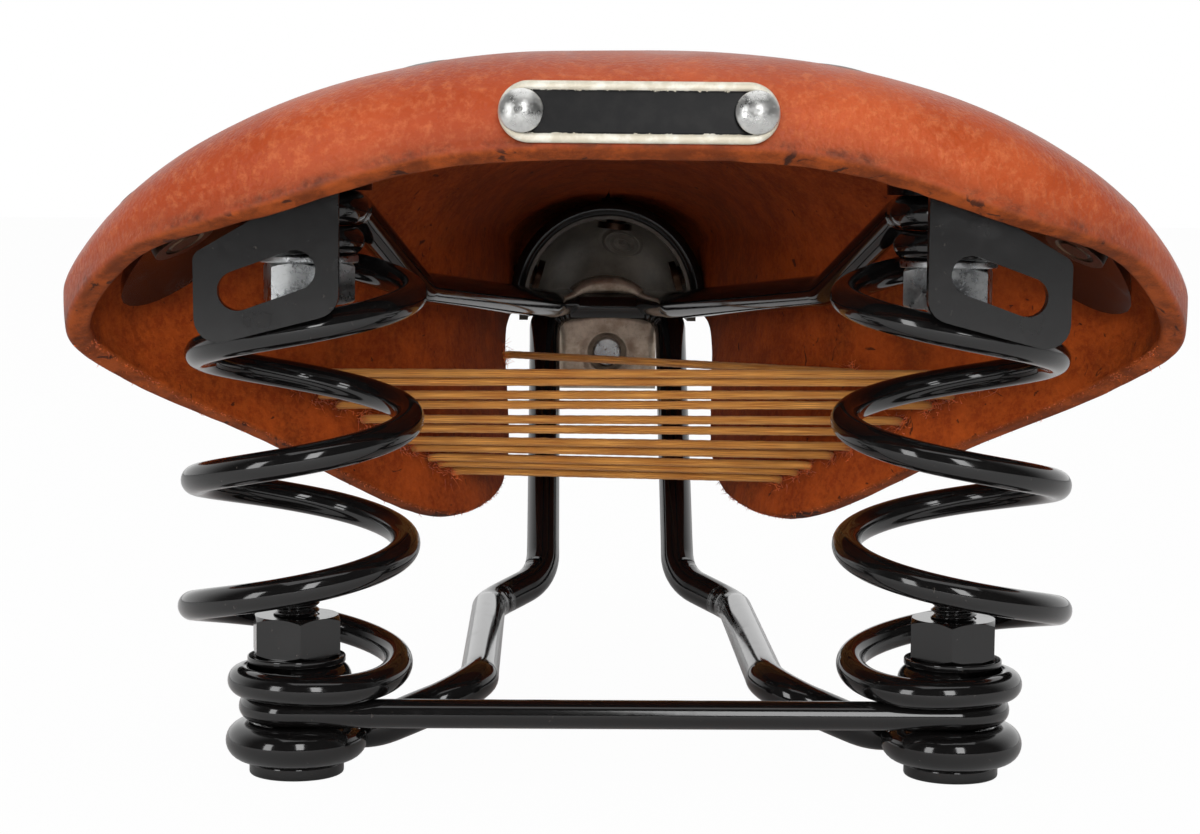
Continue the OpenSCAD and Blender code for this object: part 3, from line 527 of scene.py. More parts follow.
def fibres(roots, ways, lengths, radius, bend):
    """Short tapering hairs: each is a three-sided spike of four rings that curls along its bend."""
    u = np.linspace(0, 1, 4)[None, :, None]
    ways = unit(ways)
    reach = lengths[:, None, None]
    spine = roots[:, None] + ways[:, None] * (u * reach) + bend[:, None] * (u ** 2 * reach)
    a = unit(np.cross(ways, unit(bend + 1e-6)))
    b = np.cross(ways, a)
    angle = np.arange(3) * 2 * np.pi / 3
    cos, sin = np.cos(angle)[:, None], np.sin(angle)[:, None]
    ring = cos * a[:, None, None] + sin * b[:, None, None]
    taper = (radius * (1 - 0.8 * u))[..., None]
    points = spine[:, :, None] + ring * taper
    n = len(roots)
    one = quads(4, 3, True)[:, ::-1]
    base = np.arange(n)[:, None, None] * 12
    ends = np.array([[0, 2, 1], [9, 10, 11]])[:, ::-1]
    return points.reshape(-1, 3), [(one[None] + base).reshape(-1, 4), (ends[None] + base).reshape(-1, 3)]


def hide_fibres():
    """Torn fibres along the flaps' cut edge, over their flesh side and round the lacing holes."""
    n, each = 1500, 60
    t, side = rng.uniform(4.2, 9.6, n), rng.choice([-1, 1], n)
    nm = skin_normal(t, 2 + 0 * t)
    down = unit(skin(t, 2.0) - skin(t, 1.98))
    w = np.where(rng.random(n) < 0.55, rng.uniform(3.4, 4.4, n), rng.uniform(0.3, 4.2, n))
    edge_root = skin(t, 2 + 0 * t) - nm * w[:, None] - down * 0.25
    edge_way = down * 0.7 - nm * rng.uniform(-0.2, 1.1, n)[:, None] + rng.normal(0, 0.55, (n, 3))
    o, hn = hole_points()
    root = np.repeat(o - hn * (LEATHER_T - 0.1), each, 0) + rng.normal(0, 1.1, (len(o) * each, 3))
    hole_n = np.repeat(hn, each, 0)
    out = ((root - np.repeat(o, each, 0)) * hole_n).sum(-1, keepdims=True)
    root -= hole_n * out + hole_n * (LEATHER_T - 0.15)
    hole_way = -hole_n * 0.8 + rng.normal(0, 0.7, root.shape)
    flip = np.where(side[:, None] < 0, [-1, 1, 1], [1, 1, 1])
    roots = np.vstack([edge_root * flip, root])
    ways = np.vstack([edge_way * flip, hole_way])
    lengths = np.concatenate([rng.uniform(0.15, 0.5, n), rng.uniform(0.8, 2.4, len(root))])
    radius = 0.085
    return fibres(roots, ways, lengths, radius, rng.normal(0, 0.45, roots.shape))


# ------------------------------------------------------------------ fasteners


def thread(depth, pitch, low, high):
    """Groove of a screw thread between two heights: a triangle wave that climbs one pitch each turn."""
    def swell(angle, z):
        phase = (z / pitch - angle / (2 * np.pi)) % 1
        wave = np.clip(np.abs(phase - 0.5) * 2.6 - 0.15, 0, 1)
        inside = np.clip((z - low) / 0.3, 0, 1) * np.clip((high - z) / 0.3, 0, 1)
        return -depth * (1 - wave) * inside
    return swell


def bolt(x, low, high, head_low, out_low, out_high, tip_up):
    """Round-headed bolt on an upper or lower seat, its visible end cut with a thread and chamfered."""
    r, chamfer, depth, pitch, tiny = BOLT_D / 2, 0.7, 0.62, 1.25, 0.01
    z = np.arange(out_low, out_high, 0.09)
    cut = np.stack([np.full_like(z, r), z], -1)
    if tip_up:
        tip = [[r, high - chamfer], [r - chamfer, high], [tiny, high]]
        shaft = np.vstack([[[tiny, low], [r, low]], cut, tip])
        head = rounded_disc(HEAD_D / 2, head_low, head_low + HEAD_H)
        swell = thread(depth, pitch, out_low, high - 0.2)
    else:
        shaft = np.vstack([[[tiny, low], [r - chamfer, low], [r, low + chamfer]], cut, [[r, high]]])
        head = rounded_disc(6.8, high - 0.05, high + 2.2, 1.6)
        swell = thread(depth, pitch, low + 0.2, out_high)
    centre = (x, SPRING_Y, 0)
    return joined([revolved(shaft, 64, centre, swell=swell), revolved(head, 72, centre)])


def rounded_disc(r, low, high, top_round=0.55):
    """Profile of a disc with rounded edges, from the middle of its lower face to that of its upper one."""
    a = np.linspace(0, np.pi / 2, 7)
    b = 0.45
    lower = np.stack([r - b + b * np.sin(a), low + b - b * np.cos(a)], -1)
    c = min(top_round, (high - low) * 0.6)
    upper = np.stack([r - c + c * np.cos(a), high - c + c * np.sin(a)], -1)
    return np.vstack([[[0.01, low]], lower, upper, [[0.01, high]]])


def softened(node, width, finish, slot, segments=3, angle=28):
    """A copy of a CAD node with its points merged and its sharp edges rounded by width."""
    source = frame["nodes"][node]
    obj = bpy.data.objects.new(node + "_worked", source.data.copy())
    bpy.context.scene.collection.objects.link(obj)
    work = bmesh.new()
    work.from_mesh(obj.data)
    bmesh.ops.remove_doubles(work, verts=work.verts, dist=2e-6)
    bmesh.ops.dissolve_limit(work, angle_limit=math.radians(0.4), verts=work.verts, edges=work.edges)
    work.to_mesh(obj.data)
    work.free()
    obj.data.polygons.foreach_set("use_smooth", np.ones(len(obj.data.polygons), bool))
    edge = obj.modifiers.new("rounded_edges", "BEVEL")
    edge.width, edge.segments, edge.limit_method = width * MM, segments, "ANGLE"
    edge.angle_limit, edge.use_clamp_overlap = math.radians(angle), True
    even = obj.modifiers.new("even_shading", "WEIGHTED_NORMAL")
    even.weight, even.keep_sharp = 100, False
    return place(obj, source["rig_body"], finish, slot, node)


def sink_rear_rivets(obj):
    """Presses the rear rivets' heads down into the leather, the outer pair nearly flush with it.

    Each row of the table is a rivet's place (t, s) on the leather, the range of x that holds it, and the
    share of its height that it loses."""
    under, above = -1.2, 0.35
    points = np.empty(len(obj.data.vertices) * 3, np.float32)
    obj.data.vertices.foreach_get("co", points)
    p = points.reshape(-1, 3).astype(float)
    for t, s, inner, outer, share in ((1.93, 0.33, 20, 60, 0.6), (3.42, 0.69, 60, 99, 0.85)):
        for side in ([1, 1, 1], [-1, 1, 1]):
            way = skin_normal(t, s) * side
            out = ((p / MM - skin(t, s) * side) * way).sum(1)
            x = p[:, 0] * side[0] / MM
            head = (x > inner) & (x < outer) & (out > under)
            p -= (head * np.maximum(out + above, 0) * share)[:, None] * way * MM
    obj.data.vertices.foreach_set("co", p.astype(np.float32).ravel())
    obj.data.update()


def nose_block():
    """Cast block: an arched plate with a channel that the rail's loop lies in, a raised brow over the loop
    and a round recess for the tension bolt. Heights and widths are about the loop's centre line."""
    back, front = LOOP_Y - 2.6, LOOP_Y + 11.4
    brow_r, brow_drop, half, shoulder, foot = 13.0, 5.8, 11.4, -6, -19
    middle, hole, hole_r = np.array([0.0, -8.0]), np.array([0.0, -10.5]), 4.7
    a = np.linspace(0, np.pi, 37)
    brow = np.stack([brow_r * np.cos(a), -brow_drop + brow_r * np.sin(a)], -1)
    brow = brow[brow[:, 1] > -2]
    corners = [brow[-1], (-half, shoulder), (-half, foot), (half, foot), (half, shoulder), brow[0]]
    steps = np.linspace(0, 1, 9)[:-1, None]
    sides = [np.array(p) * (1 - steps) + np.array(q) * steps for p, q in zip(corners, corners[1:])]
    rim = np.vstack([brow] + sides)
    reach = np.linalg.norm(rim - middle, axis=1, keepdims=True)

    def ring(p, depth):
        return np.stack([p[:, 0], np.broadcast_to(depth, len(p)), LOOP_Z + p[:, 1]], -1)

    rings = [ring(np.broadcast_to(middle, rim.shape), front)]
    for inset, depth in ((0, front), (0, back + 1.6), (0.35, back + 0.7), (1.0, back + 0.15), (1.9, back)):
        inner = middle + (rim - middle) * (1 - inset / reach)
        rings.append(ring(inner, depth))
    way = unit(inner - hole)
    channel_depth, channel_half, channel_z, channel_arch = 3.4, 2.6, 1.0, 0.012
    for share in np.linspace(0.1, 1, 26):
        p = inner * (1 - share) + (hole + way * hole_r) * share
        off = p[:, 1] - channel_z + channel_arch * p[:, 0] ** 2
        groove = np.exp(-(off / channel_half) ** 6) * channel_depth
        dish = 0.5 * np.exp(-((np.linalg.norm(p - hole, axis=1) - hole_r) / 1.2) ** 2)
        rings.append(ring(p, back + groove + dish))
    for r, depth in ((4.45, back + 1.2), (4.4, back + 4.0), (0.01, back + 4.0)):
        rings.append(ring(hole + way * r, depth))
    return np.vstack(rings), [quads(len(rings), len(rim), True)]


def nose_bead():
    """Rolled rear rim of the nose plate: a bead along its arch and down both legs."""
    a = np.linspace(0, np.pi, 49)
    r, y, bead_r = 21.0, 105.7, 1.75
    arch = np.stack([r * np.cos(a), np.full_like(a, y), LOOP_Z + 2 + r * np.sin(a)], -1)
    leg = np.array([[r, y, LOOP_Z - 3], [r, y, LOOP_Z - 0.5]])
    return tube(np.vstack([leg, arch, (leg * [-1, 1, 1])[::-1]]), bead_r, 20)


def rivet_end():
    """Flattened end of the top nose rivet on the plate's inner wall, with turned rings."""
    centre, way = np.array([4.2, 129.6, 75.0]), unit(np.array([-0.2, -0.66, -0.72]))
    side = unit(np.cross(way, [0.0, 0.0, 1.0]))
    up = np.cross(side, way)
    outer, thick, wave, pitch, sunk = 6.2, 1.3, 0.3, 2.1, 0.4
    a = np.linspace(0, 2 * np.pi, 56, endpoint=False)
    r = np.linspace(outer, 0.01, 44)
    height = thick * np.sqrt(1 - (r / (outer + 0.05)) ** 8) + wave * np.cos(r * 2 * np.pi / pitch) - sunk
    spoke = np.cos(a)[:, None] * side + np.sin(a)[:, None] * up
    points = centre + way * height[:, None, None] + spoke * r[:, None, None]
    return build("nose_rivet_end", points, [quads(len(r), len(a), True)])


def badge_point(u, v, w):
    """Point of the badge from its own width u, height v and depth w off the leather."""
    a = math.radians(BADGE["tilt"])
    axes = [1.0, 0, 0], [0, math.sin(a), math.cos(a)], [0, -math.cos(a), math.sin(a)]
    centre = np.array([0, BADGE["y"], BADGE["z"]])
    return centre + sum(np.multiply.outer(n, axis) for n, axis in zip((u, v, w), axes))


def badge():
    """Pressed badge: a stadium outline carried over a profile that rises to a rounded rim and drops to a
    flat sunk field; the share of the way in from the rim is stored for the enamel."""
    half, w, h, t, sunk = 48, BADGE["w"], BADGE["h"], BADGE["t"], 0.35
    field = t - 0.45
    profile = np.array([[0.35, 0.05], [0.06, 0.3], [0.0, 0.7], [0.12, 1.02], [0.4, t - 0.02],
                        [1.05, t - 0.02], [1.32, t - 0.1], [1.45, t - 0.3], [1.55, t - 0.42], [1.8, field],
                        [3.2, field], [h / 2, field]])
    a = np.concatenate([np.linspace(-90, 90, half), np.linspace(90, 270, half)])
    mid = np.where(np.arange(len(a)) < half, 1, -1) * (w - h) / 2
    reach = h / 2 - profile[:, :1]
    u = mid + reach * np.cos(np.radians(a))
    v = reach * np.sin(np.radians(a))
    wide = np.broadcast_to(profile[:, 1:], u.shape)
    obj = build("rear_badge", badge_point(u, v, wide - sunk), [quads(len(profile), len(a), True)])
    add_value(obj, "enamel", np.broadcast_to(profile[:, :1], u.shape))
    return weld(obj, 0.001)


# ------------------------------------------------------------------ finishes


def colour(r, g, b):
    """Linear colour from an sRGB one given in the range 0 to 255."""
    c = np.array([r, g, b]) / 255
    c = np.where(c <= 0.04045, c / 12.92, ((c + 0.055) / 1.055) ** 2.4)
    return (*c.tolist(), 1.0)


class Nodes:
    """Short calls that add nodes to a tree, set them and join them."""

    def __init__(self, tree):
        self.tree = tree

    def node(self, kind, **values):
        n = self.tree.nodes.new(kind)
        for key, value in values.items():
            setattr(n, key, value)
        return n

    def join(self, source, target):
        self.tree.links.new(source, target)

    def put(self, socket, value):
        """Sets a socket to a number or colour, or joins it to another node's output."""
        if isinstance(value, bpy.types.NodeSocket):
            self.join(value, socket)
        else:
            socket.default_value = value

    def maths(self, operation, a, b=0.0, clamp=True):
        """One sum of two numbers, kept between 0 and 1 unless clamp is off."""
        n = self.node("ShaderNodeMath", operation=operation, use_clamp=clamp)
        self.put(n.inputs[0], a)
        self.put(n.inputs[1], b)
        return n.outputs[0]

    def times(self, a, b, clamp=True):
        return self.maths("MULTIPLY", a, b, clamp)

    def span(self, value, low, high, to_low=0.0, to_high=1.0, ease="SMOOTHSTEP"):
        """A number mapped from one range to another, eased at both ends unless ease is linear."""
        n = self.node("ShaderNodeMapRange", interpolation_type=ease)
        for socket, v in zip(n.inputs, (value, low, high, to_low, to_high)):
            self.put(socket, v)
        return n.outputs[0]

    def mix(self, share, a, b):
        """A colour part of the way from a to b."""
        n = self.node("ShaderNodeMix", data_type="RGBA", blend_type="MIX")
        self.put(n.inputs[0], share)
        self.put(n.inputs[6], a)
        self.put(n.inputs[7], b)
        return n.outputs[2]

    def blend(self, share, a, b):
        """A number part of the way from a to b."""
        n = self.node("ShaderNodeMix", data_type="FLOAT")
        self.put(n.inputs[0], share)
        self.put(n.inputs[2], a)
        self.put(n.inputs[3], b)
        return n.outputs[0]


class Finish(Nodes):
    """A node material; its shader's sockets are set at the end."""

    def __init__(self, name):
        self.material = bpy.data.materials.new(name)
        self.material.use_nodes = True
        super().__init__(self.material.node_tree)
        self.shader = self.tree.nodes["Principled BSDF"]
        self.place = self.node("ShaderNodeTexCoord").outputs["Object"]

    def value(self, name):
        """A number stored on the mesh."""
        kind = "ShaderNodeAttribute"
        return self.node(kind, attribute_name=name, attribute_type="GEOMETRY").outputs["Fac"]

    def group(self, tree, **values):
        n = self.node("ShaderNodeGroup")
        n.node_tree = tree
        self.join(self.place, n.inputs["Place"])
        for key, v in values.items():
            self.put(n.inputs[key.replace("_", " ")], v)
        return n.outputs[0]

    def bump(self, height, distance, strength=1.0):
        n = self.node("ShaderNodeBump")
        n.inputs["Strength"].default_value = strength
        n.inputs["Distance"].default_value = distance * MM
        self.join(height, n.inputs["Height"])
        self.join(n.outputs[0], self.shader.inputs["Normal"])

    def set(self, **values):
        for key, v in values.items():
            self.put(self.shader.inputs[key.replace("_", " ")], v)
        return self.material


def shader_group(name, inputs, fill):
    """A node group with the place, the named numbers and one number out, filled by a function."""
    tree = bpy.data.node_groups.new(name, "ShaderNodeTree")
    tree.interface.new_socket("Place", in_out="INPUT", socket_type="NodeSocketVector")
    for key, start in inputs.items():
        socket = tree.interface.new_socket(key, in_out="INPUT", socket_type="NodeSocketFloat")
        socket.default_value = start
    tree.interface.new_socket("Mask", in_out="OUTPUT", socket_type="NodeSocketFloat")
    n = Nodes(tree)
    start, end = n.node("NodeGroupInput").outputs, n.node("NodeGroupOutput")
    n.join(fill(n, start), end.inputs[0])
    return tree


def fill_mottle(n, start):
    """Soft patches: a noise whose middle is stretched to run from none to full between two levels."""
    noise = n.node("ShaderNodeTexNoise")
    for key in ("Scale", "Detail", "Roughness", "Distortion"):
        n.join(start[key], noise.inputs[key])
    n.join(start["Place"], noise.inputs["Vector"])
    return n.span(noise.outputs["Fac"], start["Low"], start["High"])


def fill_pebble(n, start):
    """Rounded grain: cells bent by a little noise, each of them high in its middle."""
    noise = n.node("ShaderNodeTexNoise")
    n.join(start["Place"], noise.inputs["Vector"])
    n.join(start["Scale"], noise.inputs["Scale"])
    bent = n.node("ShaderNodeVectorMath", operation="MULTIPLY_ADD")
    n.join(noise.outputs["Color"], bent.inputs[0])
    n.join(n.maths("DIVIDE", start["Bend"], start["Scale"], clamp=False), bent.inputs[1])
    n.join(start["Place"], bent.inputs[2])
    cells = n.node("ShaderNodeTexVoronoi", feature="SMOOTH_F1")
    cells.inputs["Smoothness"].default_value = 0.35
    n.join(bent.outputs[0], cells.inputs["Vector"])
    n.join(start["Scale"], cells.inputs["Scale"])
    return n.span(cells.outputs["Distance"], 0.75, 0.1, ease="LINEAR")


MOTTLE = shader_group("soft_patches", dict(Scale=60.0, Detail=4.0, Roughness=0.55, Distortion=0.0,
                                           Low=0.35, High=0.65), fill_mottle)
PEBBLE = shader_group("pebble_grain", dict(Scale=900.0, Bend=0.8), fill_pebble)


def saddle_leather():
    """Terracotta hide with a waxed face, a burnished and inked edge and a rough flesh side."""
    f = Finish("saddle_leather")
    zone, rim, hole = f.value("zone"), f.value("rim"), f.value("hole")
    clouds = f.group(MOTTLE, Scale=26.0, Detail=5.0, Low=0.34, High=0.68)
    blotch = f.group(MOTTLE, Scale=95.0, Detail=6.0, Roughness=0.65, Distortion=0.6, Low=0.38, High=0.66)
    fleck = f.group(MOTTLE, Scale=620.0, Detail=5.0, Roughness=0.7, Low=0.44, High=0.72)
    pore = f.group(PEBBLE, Scale=1250.0)
    face = f.mix(clouds, colour(154, 62, 28), colour(178, 80, 40))
    face = f.mix(f.times(blotch, 0.45), face, colour(148, 56, 20))
    face = f.mix(f.times(fleck, 0.32), face, colour(214, 130, 84))
    burnish = f.times(f.span(rim, 5.0, 0.5), 0.4)
    face = f.mix(burnish, face, colour(120, 56, 34))
    streak = f.group(MOTTLE, Scale=62.0, Detail=9.0, Roughness=0.8, Distortion=0.4, Low=0.42, High=0.66)
    ink = f.times(f.span(rim, 1.9, 0.1), streak)
    face = f.mix(f.times(ink, 0.8), face, colour(58, 36, 28))
    tide = f.group(MOTTLE, Scale=120.0, Detail=8.0, Roughness=0.75, Low=0.4, High=0.62)
    edge = f.mix(tide, colour(112, 50, 18), colour(158, 74, 28))
    marks = f.group(MOTTLE, Scale=150.0, Detail=3.0, Distortion=1.2, Low=0.6, High=0.66)
    edge = f.mix(f.times(marks, 0.8), edge, colour(30, 22, 20))
    stain = f.group(MOTTLE, Scale=38.0, Detail=8.0, Roughness=0.72, Low=0.45, High=0.7)
    fuzz = f.group(MOTTLE, Scale=800.0, Detail=6.0, Roughness=0.75, Low=0.4, High=0.66)
    flesh = f.mix(tide, colour(132, 50, 12), colour(164, 70, 20))
    flesh = f.mix(f.times(stain, 0.55), flesh, colour(88, 46, 16))
    flesh = f.mix(f.times(fuzz, 0.4), flesh, colour(194, 92, 30))
    cut = f.group(MOTTLE, Scale=210.0, Detail=2.0, Distortion=2.5, Low=0.68, High=0.72)
    flesh = f.mix(f.times(cut, 0.8), flesh, colour(38, 20, 12))
    skin_to_edge = f.span(zone, 0.05, 0.6)
    edge_to_flesh = f.span(zone, 1.5, 1.95)
    base = f.mix(edge_to_flesh, f.mix(skin_to_edge, face, edge), flesh)
    # Painted shade: the leather is darkened round each lacing hole to stand for the shade inside the hole.
    base = f.mix(f.times(hole, 0.75), base, colour(70, 30, 14))
    smooth = f.blend(skin_to_edge, f.blend(blotch, 0.44, 0.34), 0.82)
    grain = f.maths("ADD", f.times(pore, 0.5), f.times(fleck, 0.5))
    nap = f.maths("ADD", f.times(fuzz, 0.6), f.times(tide, 0.4))
    f.bump(f.blend(skin_to_edge, grain, nap), distance=0.24, strength=0.55)
    return f.set(Base_Color=base, Roughness=smooth, Specular_IOR_Level=0.24)


def black_paint(name, peel=1.0, shine=1.0):
    """Thick black coat: nearly black, glossy, with a faint orange peel, dust and fine rubbed marks."""
    f = Finish(name)
    skin_wave = f.group(MOTTLE, Scale=260.0, Detail=2.0, Low=0.2, High=0.8)
    dust = f.group(MOTTLE, Scale=900.0, Detail=3.0, Roughness=0.8, Low=0.66, High=0.74)
    rub = f.group(MOTTLE, Scale=70.0, Detail=6.0, Roughness=0.7, Low=0.5, High=0.75)
    base = f.mix(f.times(dust, 0.25), colour(13, 12, 12), colour(120, 112, 104))
    base = f.mix(f.times(rub, 0.3), base, colour(26, 24, 23))
    gloss = f.blend(rub, 0.1 / shine, 0.24 / shine)
    f.bump(skin_wave, 0.02 * peel, 0.3)
    return f.set(Base_Color=base, Roughness=gloss, Specular_IOR_Level=0.55 * shine,
                 Coat_Weight=0.3 * shine ** 2, Coat_Roughness=0.06)


def bare_metal(name, dark, light, gloss, scale, metal=1.0, pits=0.3):
    """Bare or plated metal: two tones (0 to 255) in soft patches, fine pits and a varied gloss."""
    f = Finish(name)
    patch = f.group(MOTTLE, Scale=scale, Detail=6.0, Roughness=0.65, Low=0.36, High=0.66)
    pit = f.group(MOTTLE, Scale=scale * 9, Detail=4.0, Roughness=0.7, Low=0.55, High=0.72)
    base = f.mix(patch, colour(*dark), colour(*light))
    base = f.mix(f.times(pit, pits), base, colour(40, 34, 30))
    f.bump(pit, 0.05, 0.5)
    return f.set(Base_Color=base, Metallic=metal, Roughness=f.blend(patch, gloss[0], gloss[1]))


def waxed_cord():
    """Ochre waxed thread: laid fibres along the cord with a slight twist, darker between them."""
    f = Finish("waxed_cord")
    run, turn = f.value("run"), f.value("turn")
    strand, stretch, across, twist = f.node("ShaderNodeCombineXYZ"), 0.006, 0.35, 0.012
    f.join(f.times(run, stretch, clamp=False), strand.inputs[0])
    turned, twisted = f.times(turn, across, clamp=False), f.times(run, twist, clamp=False)
    f.join(f.maths("ADD", turned, twisted, clamp=False), strand.inputs[1])
    fibre = f.node("ShaderNodeTexNoise")
    fibre.inputs["Scale"].default_value, fibre.inputs["Detail"].default_value = 14.0, 5.0
    f.join(strand.outputs[0], fibre.inputs["Vector"])
    line = f.span(fibre.outputs["Fac"], 0.38, 0.64)
    patch = f.group(MOTTLE, Scale=140.0, Detail=5.0, Low=0.35, High=0.7)
    base = f.mix(line, colour(150, 88, 26), colour(232, 166, 82))
    base = f.mix(f.times(patch, 0.3), base, colour(188, 112, 40))
    f.bump(line, distance=0.12, strength=0.6)
    return f.set(Base_Color=base, Roughness=f.blend(line, 0.62, 0.48), Sheen_Weight=0.1)


def badge_enamel():
    """Pale plated rim round a sunk field of black enamel, chipped a little along the rim."""
    f = Finish("badge_enamel")
    inset = f.value("enamel")
    chip = f.group(MOTTLE, Scale=330.0, Detail=6.0, Roughness=0.8, Distortion=0.6, Low=0.5, High=0.62)
    field = f.span(f.maths("SUBTRACT", inset, f.times(chip, 0.22), clamp=False), 1.42, 1.5)
    wear = f.group(MOTTLE, Scale=420.0, Detail=5.0, Low=0.4, High=0.7)
    rim = f.mix(wear, colour(198, 190, 172), colour(222, 218, 206))
    enamel = f.mix(f.times(wear, 0.15), colour(9, 9, 10), colour(48, 46, 44))
    return f.set(Base_Color=f.mix(field, rim, enamel), Metallic=f.blend(field, 0.35, 0.0),
                 Roughness=f.blend(field, 0.42, 0.34), Specular_IOR_Level=0.2)


def leather_fibre():
    """Torn leather fibre, from dark red-brown to bright orange."""
    f = Finish("leather_fibre")
    tone = f.group(MOTTLE, Scale=240.0, Detail=3.0, Low=0.35, High=0.65)
    base = f.mix(tone, colour(176, 70, 18), colour(238, 112, 40))
    return f.set(Base_Color=base, Roughness=0.8, Sheen_Weight=0.2)


# ------------------------------------------------------------------ the saddle

paint = black_paint("black_powder_coat")
plate_paint = black_paint("black_plate_paint", peel=0.8, shine=0.62)
# Painted light: the nose plate is black paint, but it gets a light grey colour here that stands for the
# light on its shaded inner wall. The rivet end on that wall shares it.
nose_paint = bare_metal("nose_plate_painted_light_grey", (72, 67, 60), (104, 97, 88), gloss=(0.3, 0.42), scale=70.0,
                        metal=0.25, pits=0.2)
nut_paint = black_paint("black_fastener_finish", peel=0.6)
zinc = bare_metal("bright_zinc", (150, 152, 154), (206, 208, 208), gloss=(0.2, 0.42), scale=160.0,
                  pits=0.35)
silver = bare_metal("brushed_silver", (196, 196, 194), (228, 228, 225), gloss=(0.24, 0.38), scale=300.0,
                    pits=0.12)
cast = bare_metal("cast_iron", (158, 138, 120), (204, 188, 170), gloss=(0.36, 0.5), scale=210.0, metal=0.7)
bronze = bare_metal("antique_copper", (58, 44, 36), (112, 88, 70), gloss=(0.3, 0.5), scale=130.0, pits=0.45)

place(leather(), "saddle_top", saddle_leather(), "leather", "leather_top")
place(build("leather_fibres", *hide_fibres()), "saddle_top", leather_fibre(), "leather")

rail, squeeze = both_halves(rail_line()), 0.05
rail_mesh = tube(rail, RAIL_D / 2, 36, flat=hammered(rail, squeeze))
place(build("rails", *rail_mesh), "underframe", paint, "black_wire", "rail_wire")
cross_mesh = tube(both_halves(cross_line()), CROSS_D / 2, 28)
place(build("cross_bar", *cross_mesh), "underframe", paint, "black_wire", "cross_wire")
stay = tube(stay_line(), STAY_D / 2, 32, flat=hammered(stay_line(), squeeze))
place(build("stay_r", *stay), "saddle_top", paint, "black_wire", "stay_right")
place(build("stay_l", *mirrored(stay)), "saddle_top", paint, "black_wire", "stay_left")

coil = tube(coil_line(), SPRING_D / 2, 32)
for name, part, node, x in (("coil_spring_l", coil, "spring_left", -BOLT_X * MM),
                            ("coil_spring_r", mirrored(coil), "spring_right", BOLT_X * MM)):
    spring = build(name, *part)
    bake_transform(spring)
    place(spring, None, paint, "black_wire", node)

nut_top = LOWER_NUT_Z + NUT_H
lower = [bolt(x, LOWER_HEAD_Z, nut_top + 3.8, LOWER_HEAD_Z, nut_top - 0.6, nut_top + 2.9, tip_up=True)
         for x in (-BOLT_X, BOLT_X)]
lower_mesh = weld(build("lower_bolts_cut", *joined(lower)))
place(lower_mesh, "underframe", nut_paint, "black_fasteners", "lower_bolts")
upper = [bolt(x, UPPER_NUT_Z - 2, PAD_Z + 2.5, 0, UPPER_NUT_Z - 1.2, UPPER_NUT_Z + 0.5, tip_up=False)
         for x in (-TOP_X, TOP_X)]
upper_mesh = weld(build("upper_bolts_cut", *joined(upper)))
place(upper_mesh, "saddle_top", zinc, "zinc_fasteners", "upper_bolts")

place(lacing(), "saddle_top", waxed_cord(), "cord", "lacing")
place(weld(build("nose_block", *nose_block())), "saddle_top", cast, "cast_block", "tension_block")
place(build("nose_rim", *nose_bead()), "saddle_top", plate_paint, "black_plate")
place(rivet_end(), "saddle_top", nose_paint, "black_plate")
place(badge(), "saddle_top", badge_enamel(), "badge", "badge_plate")

# Pieces that keep the CAD shape, with their edges rounded: node, width, finish and slot.
for node, width, finish, slot in (
        ("cantle_plate", 0.65, plate_paint, "black_plate"),
        ("nose_plate", 0.6, nose_paint, "black_plate"),
        ("lower_nuts", 0.3, nut_paint, "black_fasteners"),
        ("lower_washers", 0.3, nut_paint, "black_fasteners"),
        ("upper_nuts", 0.3, zinc, "zinc_fasteners"),
        ("upper_washers", 0.3, zinc, "zinc_fasteners"),
        ("tension_bolt", 0.6, zinc, "zinc_fasteners"),
        ("tension_nut", 0.3, zinc, "zinc_fasteners"),
        ("rear_rivets", 0.25, bronze, "antique_rivets"),
        ("nose_rivets", 0.25, bronze, "antique_rivets"),
        ("badge_rivets", 0.3, silver, "bright_rivets")):
    softened(node, width, finish, slot)
sink_rear_rivets(bpy.data.objects["rear_rivets_worked"])

# ------------------------------------------------------------------ studio

def pale_room():
    """Plain white room: white to the camera, and darker in front of the saddle than behind it in gloss."""
    world = bpy.data.worlds.new("pale_room")
    bpy.context.scene.world = world
    world.use_nodes = True
    n = Nodes(world.node_tree)
    split = n.node("ShaderNodeSeparateXYZ")
    n.join(n.node("ShaderNodeTexCoord").outputs["Generated"], split.inputs[0])
    ahead = n.span(split.outputs["Y"], -0.35, 0.55, to_low=0.05, to_high=1.0)
    path = n.node("ShaderNodeLightPath").outputs
    seen = n.maths("MAXIMUM", path["Is Camera Ray"], path["Is Transmission Ray"], clamp=False)
    even_level, full = 0.36, 1.0
    level = n.blend(seen, n.blend(path["Is Glossy Ray"], even_level, ahead), full)
    back = n.tree.nodes["Background"]
    back.inputs["Color"].default_value = (1, 1, 1, 1)
    n.join(level, back.inputs["Strength"])


def pale_floor(height):
    """Level floor under the saddle, nearly white to the camera apart from the shadow on it."""
    r, corners, glow_share = 6000.0, 64, 0.975
    a = np.linspace(0, 2 * np.pi, corners, endpoint=False)
    ring = np.stack([r * np.cos(a), r * np.sin(a), np.full(corners, height)], -1)
    k = np.arange(corners)
    fan = np.stack([k, (k + 1) % corners, np.full(corners, corners)], -1)
    floor = build("studio_floor", np.vstack([ring, [[0, 0, height]]]), [fan], smooth=False)
    f = Finish("studio_floor")
    f.set(Base_Color=colour(238, 238, 238), Roughness=0.9, Specular_IOR_Level=0.1)
    path, mixed = f.node("ShaderNodeLightPath").outputs, f.node("ShaderNodeMixShader")
    seen = f.maths("MAXIMUM", path["Is Camera Ray"], path["Is Transmission Ray"], clamp=False)
    f.join(f.times(seen, glow_share, clamp=False), mixed.inputs[0])
    f.join(f.shader.outputs[0], mixed.inputs[1])
    f.join(f.node("ShaderNodeEmission").outputs[0], mixed.inputs[2])
    f.join(mixed.outputs[0], f.tree.nodes["Material Output"].inputs[0])
    floor.data.materials.append(f.material)


